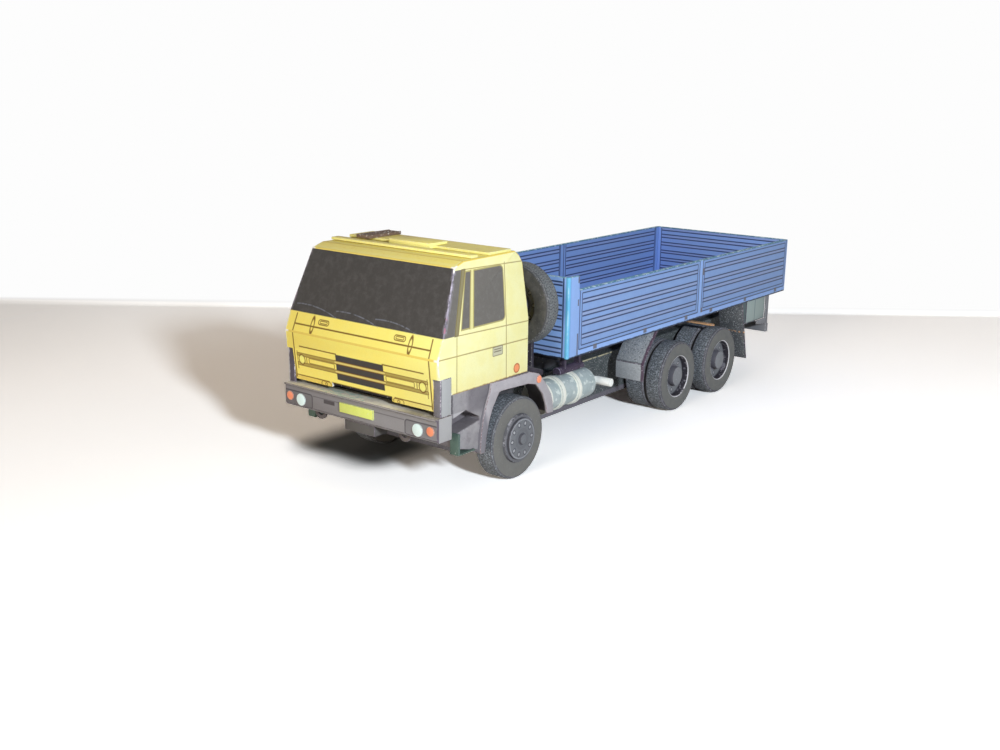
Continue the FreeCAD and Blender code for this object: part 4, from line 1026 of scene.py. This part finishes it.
def make_cab_skin():
    """One folded sheet: front panel, sides, roof and back of the cab."""
    sizes = bpy.context.scene.card_sizes
    finishes = (front_print(), side_print(), roof_print(), rear_wall_print(), fold_print(), bare_card())
    piece = start_box("cab_skin", (-CAB_HALF, CREASE[0], FOOT[1]), (CAB_HALF, CAB_REAR, ROOF_Z), finishes)
    for first, second in zip(CAB_LINE, CAB_LINE[1:]):
        slice_off((0.0, first[0], first[1]), normal_between(first, second))
    for side in (1, -1):
        slice_off((side * CAB_HALF, 0.0, SILL_Z), Vector((side, 0.0, CAB_LEAN)).normalized())
    for z in (CAB_FLOOR_Z, NOTCH_TOP, COVER[2]):
        slice_off((0.0, 0.0, z), (0.0, 0.0, 1.0), keep_all=True)
    slice_off((0.0, COVER[1], 0.0), (0.0, 1.0, 0.0), keep_all=True)
    for x in (NOTCH_HALF, -NOTCH_HALF, COVER[0], -COVER[0]):
        slice_off((x, 0.0, 0.0), (1.0, 0.0, 0.0), keep_all=True)
    pick(piece, "FACE", lambda place, normal: normal.z < -0.9
         or (place.z < CAB_FLOOR_Z and normal.y > -0.5)
         or (place.z < NOTCH_TOP and abs(place.x) < NOTCH_HALF)
         or (abs(place.x) > COVER[0] and place.y < COVER[1] and place.z < COVER[2]))
    bpy.ops.mesh.delete(type="FACE")
    bpy.ops.mesh.select_all(action="SELECT")
    bpy.ops.mesh.dissolve_limited(angle_limit=math.radians(0.5))
    bpy.ops.object.mode_set(mode="OBJECT")
    bpy.ops.object.modifier_add(type="SOLIDIFY")
    solid = piece.modifiers[-1]
    solid.thickness = sizes.card
    solid.offset = -1.0
    solid.use_even_offset = True
    bpy.ops.object.modifier_apply(modifier=solid.name)
    bpy.ops.object.mode_set(mode="EDIT")
    pick(piece, "EDGE", lambda place, first, second: first.angle(second) > math.radians(9)
         and first.dot(place - CAB_MIDDLE) > 0 and second.dot(place - CAB_MIDDLE) > 0
         and min(first.z, second.z) > -0.6 and on_cab_outside(place))
    bpy.ops.mesh.bevel(offset=sizes.fold, offset_type="OFFSET", segments=sizes.fold_steps, affect="EDGES",
                       material=FOLD_FINISH)
    close_piece(piece)
    for face in piece.data.polygons:
        place = face.center / MM
        if face.material_index == FOLD_FINISH:
            continue
        if face.normal.dot(place - CAB_MIDDLE) < 0 or not on_cab_outside(place):
            face.material_index = BARE_FINISH
        # Faces that look sideways take the side print, whose paler yellow is a painted highlight.
        elif abs(face.normal.x) > 0.7:
            face.material_index = SIDE_FINISH
        elif face.normal.z > 0.7:
            face.material_index = ROOF_FINISH
        elif face.normal.y > 0.5:
            face.material_index = REAR_FINISH
    settle(piece, "yellow_card", "cab_front_panel", "cab_side_left", "cab_side_right", "cab_roof",
           "cab_rear_wall")


def on_cab_outside(place):
    """True for a place, in millimetres, on the outer surface of the cab's skin."""
    line = [*CAB_LINE, (CAB_REAR, CAB_FLOOR_Z)]
    reach = [normal_between(a, b).dot(Vector((0.0, place.y - a[0], place.z - a[1])))
             for a, b in zip(line, line[1:])]
    across = abs(place.x) - CAB_HALF
    lean = Vector((1.0, 0.0, CAB_LEAN)).normalized()
    return max(*reach, across, lean.dot(Vector((across, 0.0, place.z - SILL_Z)))) > -0.05


def make_roof_parts():
    """Folded roof ribs with the raised pad, and the dark vent."""
    top = bpy.data.materials["roof_print"]
    worn = edge_print("roof_edge", (250, 240, 150), (255, 253, 232))
    ribs = fold_card("roof_ribs", "yellow_card", (top, worn, roof_print("roof_front_lit_print", True)))
    # Rib faces that look ahead get the print with the painted highlight.
    for face in ribs.data.polygons:
        if face.material_index == 0 and face.normal.z < 0.5:
            face.material_index = 2
    vent_edge = edge_print("vent_edge", (52, 36, 30), (120, 90, 70), 0.4)
    plain_card("roof_vent", "dark_card", "vent_print", (112, 92, 80), (140, 120, 100), vent_edge, 0.04,
               specks=0.35)
    coat(plain_print("under_card", (74, 74, 78), (96, 96, 100)), "cab_floor", "cab_support")


def widen_discs(piece, share, lift=0.0):
    """Grow a piece's two discs on the bumper, each round its own middle, and lift them in millimetres."""
    bpy.ops.object.mode_set(mode="EDIT")
    for side in (1, -1):
        pick(piece, "FACE", lambda place, normal: side * place.x > 0 and place.y < BUMPER_FACE)
        chosen = [vertex.co.copy() for vertex in bmesh.from_edit_mesh(piece.data).verts if vertex.select]
        middle = sum(chosen, Vector()) / len(chosen)
        bpy.ops.transform.resize(value=(share, 1.0, share), center_override=middle)
        bpy.ops.transform.translate(value=(0.0, 0.0, lift * MM))
    close_piece(piece)


def make_front_parts():
    """Bumper, corner covers, coupling, tow eyes, lamps and the blank plate."""
    dark_edge = edge_print("bumper_edge", (98, 90, 100), (142, 136, 146))
    fold_card("bumper", "grey_card", (bumper_print(), dark_edge), 0.05)
    white_edge = edge_print("cover_edge", (112, 104, 120), (226, 224, 232), 0.6)
    fold_card("corner_covers", "grey_card", (cover_print(), white_edge), 0.08)
    plain_card("coupling_box", "grey_card", "coupling_print", (96, 94, 92), (78, 76, 78), dark_edge)
    plain_card("tow_eyes", "dark_card", "eye_print", (90, 84, 84), (120, 112, 108), dark_edge, 0.04)
    rim = edge_print("lamp_edge", (150, 148, 150), (224, 228, 226))
    lamps = plain_card("headlamps", "lamp_card", "headlamp_print", (236, 255, 255), (222, 250, 252), rim,
                       0.03, roughness=0.35, specks=0.0)
    widen_discs(lamps, 1.18)
    markers = plain_card("indicator_discs", "orange_card", "indicator_print", (250, 150, 114),
                         (254, 178, 136), rim, 0.03, roughness=0.45, specks=0.0)
    widen_discs(markers, 1.28, 0.2)
    plain_card("number_plate_blank", "plate_card", "plate_print", (226, 238, 120), (236, 246, 150), rim,
               0.03, roughness=0.5)


def make_guards():
    """Front mudguards, step housings and stirrups."""
    worn = edge_print("guard_edge", (132, 108, 112), (196, 188, 194), 0.6)
    band = guard_print()
    for node in ("front_guard_left", "front_guard_right"):
        fold_card(node, "grey_card", (band, worn), 0.07)
    soft = edge_print("step_edge", (128, 122, 130), (200, 196, 202), 0.4)
    fold_card("step_housings", "grey_card", (step_print(), soft))
    plain_card("stirrup_steps", "pale_card", "stirrup_print", (84, 106, 98), (108, 130, 122), soft, 0.05)


def make_chassis():
    """Finishes of the chassis, whose holes stay as the solids have them."""
    coat(chassis_print(), "chassis_box", "chassis_base")
    coat(plain_print("bearer_print", (66, 66, 70), (88, 88, 92)), "bed_bearers", "bed_cross_bearers",
         "axle_sleeves")
    coat(bare_card("axle_print"), "front_axle_rod", "rear_axle_rod_1", "rear_axle_rod_2")


# Load bed

def board(node, low, high, finish):
    """A plain glued board with soft edges, between two places on the floor. Its ribs are printed."""
    piece = start_box(node + "_card", (*low, BED_BOTTOM), (*high, SIDE_TOP), (finish,))
    round_folds(piece, 0.08, 60.0, 3)
    close_piece(piece)
    settle(piece, "blue_card", node)


def make_load_bed():
    """Side boards, headboard with its folded corner posts, tailgate and floor."""
    inner = BED_HALF - BOARD
    side, tail = bed_print(), tail_print()
    board("side_board_left", (inner, POST_REAR), (BED_HALF, BED_REAR), side)
    board("side_board_right", (-BED_HALF, POST_REAR), (-inner, BED_REAR), side)
    board("tailgate", (-inner, BED_REAR - BOARD), (inner, BED_REAR), tail)
    piece = start_box("headboard_card", (-BED_HALF, BED_FRONT, BED_BOTTOM),
                      (BED_HALF, BED_FRONT + BOARD, HEAD_TOP), (head_print(),))
    for x in (inner, -inner):
        slice_off((x, 0.0, 0.0), (1.0, 0.0, 0.0), keep_all=True)
    pick(piece, "FACE", lambda place, normal: normal.y > 0.9 and abs(place.x) > inner)
    depth = (POST_REAR - BED_FRONT - BOARD) * MM
    bpy.ops.mesh.extrude_region_move(TRANSFORM_OT_translate={"value": (0.0, depth, 0.0)})
    round_folds(piece, 0.12, 60.0, 3)
    close_piece(piece)
    settle(piece, "blue_card", "headboard")
    coat(bed_floor_print(), "bed_floor")


# Wheels

def make_wheels():
    """Front wheels and the twin rear wheels, each pair riding on its own axle."""
    worn = edge_print("tyre_edge", (92, 92, 98), (146, 146, 152), 0.4)
    inked = edge_print("rim_edge", (78, 76, 84), (140, 140, 148), 0.45)
    face = tyre_print("front_tyre_print", FRONT_AXLE_Y, AXLE_Z, "tyre", "tread")
    fold_card("front_tyres", "tyre_card", (face, worn), 0.08, 40.0, body="front_wheelset")
    hub = hub_print("front_hub_print", FRONT_AXLE_Y, AXLE_Z, True)
    fold_card("front_wheel_hubs", "rim_card", (hub, inked), 0.04, 40.0, body="front_wheelset")
    for index, y in REAR_AXLES:
        body = "rear_wheelset_" + index
        face = tyre_print("rear_tyre_print_" + index, y, AXLE_Z, "rear_tyre", "tread", hole=12.17)
        rim = tyre_edge_print("rear_tyre_edge_" + index, y, AXLE_Z)
        fold_card("rear_tyres_" + index, "tyre_card", (face, rim), 0.1, 40.0, body=body)
        fold_card("rear_rims_" + index, "rim_card", (hub_print("rear_rim_print_" + index, y, AXLE_Z), inked),
                  0.04, 40.0, body=body)


def make_spare_wheel():
    """Spare wheel behind the cab on its folded carrier."""
    worn = edge_print("spare_edge", (80, 80, 84), (150, 150, 152), 0.4)
    face = tyre_print("spare_tyre_print", *SPARE, (84, 84, 82), (110, 114, 116), upright=True)
    fold_card("spare_tyre", "tyre_card", (face, worn), 0.08, 40.0)
    fold_card("spare_rim", "rim_card", (hub_print("spare_rim_print", *SPARE, upright=True), worn), 0.04, 40.0)
    plain_card("spare_wheel_carrier", "dark_card", "carrier_print", (54, 49, 58), (74, 68, 80), worn)


# Exhaust and tanks

def make_exhaust():
    """Three drum silencer with its tailpipe, air tank with straps and the fuel tank."""
    nick = edge_print("drum_edge", (206, 212, 204), (96, 112, 118), 0.35)
    fold_card("silencer", "pale_card", (silencer_print(), nick), 0.06, 40.0)
    plain_card("tailpipe", "pipe_card", "pipe_print", (252, 255, 252), (240, 246, 240), nick, 0.03, 40.0,
               specks=0.0)
    tank_edge = edge_print("tank_edge", (120, 112, 134), (214, 208, 226))
    plain_card("air_tank", "dark_card", "tank_print", (60, 50, 66), (96, 86, 108), tank_edge, 0.05, 40.0,
               specks=0.2)
    plain_card("fuel_tank", "dark_card", "fuel_print", (92, 96, 100), (116, 120, 124), nick, 0.08)
    coat(plain_print("bracket_print", (58, 50, 64), (92, 84, 104)), "tank_brackets")


def make_rear_parts():
    """Guard plates, mudflaps, boxes, stays, lamps and the underrun beam."""
    dark_edge = edge_print("plate_edge", (70, 54, 70), (196, 188, 204), 0.4)
    fold_card("rear_guard_plates", "grey_card", (plate_card_print(), dark_edge), 0.05)
    fold_card("mudflaps", "grey_card", (flap_print(), dark_edge), 0.05)
    fold_card("rear_boxes", "pale_card", (rear_box_print(), dark_edge), 0.07)
    plain_card("rear_guard_stays", "stay_card", "stay_print", (206, 160, 112), (230, 190, 150), dark_edge,
               0.04)
    grey_edge = edge_print("beam_edge", (132, 132, 138), (214, 214, 218), 0.4)
    card = plain_print("beam_print", (120, 122, 128), (142, 144, 150))
    for node in ("underrun_beam", "lamp_brackets"):
        fold_card(node, "grey_card", (card, grey_edge))
    coat(plain_print("rear_lamp_print", (200, 60, 52), (224, 100, 76)), "rear_lamps")


# Stage

def toward(azimuth, elevation):
    """Direction from the truck to a place seen under these angles, 0 being straight ahead of it."""
    return Vector((math.sin(azimuth) * math.cos(elevation), -math.cos(azimuth) * math.cos(elevation),
                   math.sin(elevation)))


def lamp(name, place, size, power, colour):
    """A round lamp that looks at the truck."""
    bpy.ops.object.light_add(type="AREA", location=place)
    made = bpy.context.object
    made.name = name
    made.data.shape = "DISK"
    made.data.size = size
    made.data.energy = power
    made.data.color = colour
    made.rotation_euler = (-place).to_track_quat("-Z", "Y").to_euler()


def make_stage():
    """Floor sheet that curves up into a pale backdrop, lamps and camera."""
    studio = bpy.context.scene.studio
    deselect()
    turn = Matrix.Rotation(studio.azimuth, 4, "Z")
    foot = Vector((*studio.camera_place[:2], 0.0))
    bend = foot + turn @ Vector((0.0, SHEET_BEND, 0.0))
    bpy.ops.mesh.primitive_plane_add(size=1.0, location=(0.0, -SHEET_LENGTH / 2, 0.0))
    floor = bpy.context.object
    floor.name = "paper_floor"
    floor.scale = (SHEET_WIDTH, SHEET_LENGTH, 1.0)
    bpy.ops.object.transform_apply(location=True, rotation=True, scale=True)
    bpy.ops.object.mode_set(mode="EDIT")
    far_edge(floor)
    bpy.ops.mesh.extrude_region_move(TRANSFORM_OT_translate={"value": (0.0, 0.0, SHEET_RISE)})
    far_edge(floor)
    bpy.ops.mesh.bevel(offset=BEND_RADIUS, segments=4, affect="EDGES")
    close_piece(floor)
    floor.data.transform(Matrix.Translation(bend) @ turn)
    floor.data.materials.append(stage_finish())

    world = bpy.data.worlds.new("room")
    bpy.context.scene.world = world
    world.use_nodes = True
    back = world.node_tree.nodes["Background"]
    path = world.node_tree.nodes.new("ShaderNodeLightPath")
    light = world.node_tree.nodes.new("ShaderNodeMix")
    light.data_type = "RGBA"
    sky = studio.sky
    light.inputs[6].default_value = (sky, 0.78 * sky, 0.6 * sky, 1.0)
    light.inputs[7].default_value = (0.96, 0.96, 0.96, 1.0)
    world.node_tree.links.new(path.outputs["Is Camera Ray"], light.inputs[0])
    world.node_tree.links.new(light.outputs[2], back.inputs["Color"])

    flash = studio.flash_distance * toward(studio.flash_azimuth, studio.flash_elevation)
    lamp("flash", flash, studio.flash_size, studio.flash_power, (0.92, 0.99, 1.05))
    fill = studio.fill_distance * toward(studio.fill_azimuth, studio.fill_elevation)
    lamp("fill_lamp", fill, studio.fill_size, studio.fill_power, (1.0, 0.9, 0.76))

    view = bpy.data.cameras.new("photo_view")
    view.lens = studio.lens
    view.sensor_width = 36.0
    view.clip_start = 0.01
    camera = bpy.data.objects.new("photo_view", view)
    bpy.context.scene.collection.objects.link(camera)
    backward = toward(studio.azimuth, studio.elevation)
    right = Vector((math.cos(studio.azimuth), math.sin(studio.azimuth), 0.0))
    up = backward.cross(right)
    tilted = right * math.cos(studio.roll) + up * math.sin(studio.roll)
    axes = Matrix((tilted, backward.cross(tilted), backward)).transposed().to_4x4()
    camera.matrix_world = Matrix.Translation(studio.camera_place) @ axes
    bpy.context.scene.camera = camera
    bpy.context.scene.view_settings.view_transform = "Standard"


def far_edge(floor):
    """Select the far edge of the open floor sheet, which lies at y nought before it is turned."""
    mesh = bmesh.from_edit_mesh(floor.data)
    bpy.ops.mesh.select_all(action="DESELECT")
    mesh.select_mode = {"EDGE"}
    for edge in mesh.edges:
        edge.select_set(all(abs(vertex.co.y) < 1e-6 and abs(vertex.co.z) < 1e-6 for vertex in edge.verts))
    mesh.select_flush_mode()
    bmesh.update_edit_mesh(floor.data)


def stage_finish():
    """White paper: shaded near the truck, with a painted shadow under the cab and painted shade towards one
    side, lit evenly for the camera farther off, and open from its back.
    """
    paint = Paint("stage_paper", (246, 244, 242))
    paint.mottle(0.01, 0.4, (240, 239, 238))
    path = paint.node("ShaderNodeLightPath")
    seen = Value(paint, path.outputs["Is Camera Ray"])
    for ray in ("Is Glossy Ray", "Is Transmission Ray"):
        seen = seen | Value(paint, path.outputs[ray])
    sheet = paint.flat(paint.x, paint.y)
    # Painted shadow: the paper is darkened under the cab.
    painted_shadow_under_cab = sheet.outside(SHADOW_MIDDLE, SHADOW_HALF).rise(7.0, 0.5)
    shaded = paint.mix(painted_shadow_under_cab, (1.86, 1.88, 1.92, 1.0), (0.14, 0.15, 0.16, 1.0))
    bright = paint.mix(seen, (0.5, 0.46, 0.42, 1.0), shaded)
    lit = paint.mix(1.0, paint.colour, bright, "MULTIPLY")
    diffuse = paint.node("ShaderNodeBsdfDiffuse", inputs={"Color": lit})
    # Painted shade: the paper darkens to one side in straight bands, which fan out over it, as light falls
    # off.
    sideways = (paint.x * 0.789 + paint.y * 0.615 + 10.5) / (paint.y * 0.789 - paint.x * 0.615 + 163.9)
    ground_with_painted_shade = paint.mix(sideways.rise(-0.08, -0.46), tone((246, 247, 247)), tone((198, 194, 190)))
    even = paint.mix(paint.z.rise(0.4, 1.6), ground_with_painted_shade, tone((253, 253, 253)))
    glow = paint.node("ShaderNodeEmission", inputs={"Color": even, "Strength": 1.0})
    share = 0.9 * sheet.outside((0.0, 0.0), TRUCK_HALF).rise(40.0, 150.0) | paint.z.rise(0.0, 1.2)
    mixed = paint.node("ShaderNodeMixShader", inputs={0: seen * share})
    paint.tree.links.new(diffuse.outputs[0], mixed.inputs[1])
    paint.tree.links.new(glow.outputs[0], mixed.inputs[2])
    behind = Value(paint, paint.node("ShaderNodeNewGeometry").outputs["Backfacing"])
    open_back = paint.node("ShaderNodeMixShader", inputs={0: seen * behind * paint.z.rise(1.0, 2.0)})
    paint.tree.links.new(mixed.outputs[0], open_back.inputs[1])
    paint.tree.links.new(paint.node("ShaderNodeBsdfTransparent").outputs[0], open_back.inputs[2])
    out = paint.node("ShaderNodeOutputMaterial")
    paint.tree.links.new(open_back.outputs[0], out.inputs[0])
    return paint.material


# Operators

class CARD_OT_stage(bpy.types.Operator):
    """Paper floor, backdrop, lamps and camera"""
    bl_idname = "card.stage"
    bl_label = "Stage"

    def execute(self, context):
        make_stage()
        return {"FINISHED"}


class CARD_OT_cab_skin(bpy.types.Operator):
    """Folded and printed skin of the cab"""
    bl_idname = "card.cab_skin"
    bl_label = "Cab skin"

    def execute(self, context):
        make_cab_skin()
        return {"FINISHED"}


class CARD_OT_roof_parts(bpy.types.Operator):
    """Roof ribs and vent, after the cab skin"""
    bl_idname = "card.roof_parts"
    bl_label = "Roof parts"

    def execute(self, context):
        make_roof_parts()
        return {"FINISHED"}


class CARD_OT_front_parts(bpy.types.Operator):
    """Bumper, corner covers, coupling, lamps and blank plate"""
    bl_idname = "card.front_parts"
    bl_label = "Front parts"

    def execute(self, context):
        make_front_parts()
        return {"FINISHED"}


class CARD_OT_guards(bpy.types.Operator):
    """Front mudguards, step housings and stirrups"""
    bl_idname = "card.guards"
    bl_label = "Guards and steps"

    def execute(self, context):
        make_guards()
        return {"FINISHED"}


class CARD_OT_chassis(bpy.types.Operator):
    """Printed finishes of the chassis"""
    bl_idname = "card.chassis"
    bl_label = "Chassis"

    def execute(self, context):
        make_chassis()
        return {"FINISHED"}


class CARD_OT_load_bed(bpy.types.Operator):
    """Boards, posts and floor of the load bed"""
    bl_idname = "card.load_bed"
    bl_label = "Load bed"

    def execute(self, context):
        make_load_bed()
        return {"FINISHED"}


class CARD_OT_wheels(bpy.types.Operator):
    """Front wheels and twin rear wheels"""
    bl_idname = "card.wheels"
    bl_label = "Wheels"

    def execute(self, context):
        make_wheels()
        return {"FINISHED"}


class CARD_OT_spare_wheel(bpy.types.Operator):
    """Spare wheel and its carrier"""
    bl_idname = "card.spare_wheel"
    bl_label = "Spare wheel"

    def execute(self, context):
        make_spare_wheel()
        return {"FINISHED"}


class CARD_OT_exhaust(bpy.types.Operator):
    """Silencer, tailpipe and tanks"""
    bl_idname = "card.exhaust"
    bl_label = "Exhaust and tanks"

    def execute(self, context):
        make_exhaust()
        return {"FINISHED"}


class CARD_OT_rear_parts(bpy.types.Operator):
    """Guard plates, mudflaps, boxes, lamps and underrun beam"""
    bl_idname = "card.rear_parts"
    bl_label = "Rear parts"

    def execute(self, context):
        make_rear_parts()
        return {"FINISHED"}


PIECES = (CARD_OT_stage, CARD_OT_cab_skin, CARD_OT_roof_parts, CARD_OT_front_parts, CARD_OT_guards,
          CARD_OT_chassis, CARD_OT_load_bed, CARD_OT_wheels, CARD_OT_spare_wheel, CARD_OT_exhaust,
          CARD_OT_rear_parts)


class CARD_PT_truck(bpy.types.Panel):
    """Buttons for the pieces of the card truck"""
    bl_idname = "CARD_PT_truck"
    bl_label = "Card Truck"
    bl_space_type = "VIEW_3D"
    bl_region_type = "UI"
    bl_category = "Card Truck"

    def draw(self, context):
        for piece in PIECES:
            self.layout.operator(piece.bl_idname)


GROUPS = (("card_colours", CardColours), ("card_sizes", CardSizes), ("studio", StudioSettings))


def register():
    for name, group in GROUPS:
        bpy.utils.register_class(group)
        setattr(bpy.types.Scene, name, PointerProperty(type=group))
    for entry in PIECES + (CARD_PT_truck,):
        bpy.utils.register_class(entry)


def unregister():
    for entry in reversed(PIECES + (CARD_PT_truck,)):
        bpy.utils.unregister_class(entry)
    for name, group in reversed(GROUPS):
        delattr(bpy.types.Scene, name)
        bpy.utils.unregister_class(group)


def main():
    register()
    bpy.ops.card.stage()
    bpy.ops.card.cab_skin()
    bpy.ops.card.roof_parts()
    bpy.ops.card.front_parts()
    bpy.ops.card.guards()
    bpy.ops.card.chassis()
    bpy.ops.card.load_bed()
    bpy.ops.card.wheels()
    bpy.ops.card.spare_wheel()
    bpy.ops.card.exhaust()
    bpy.ops.card.rear_parts()


if __name__ == "__main__":
    main()
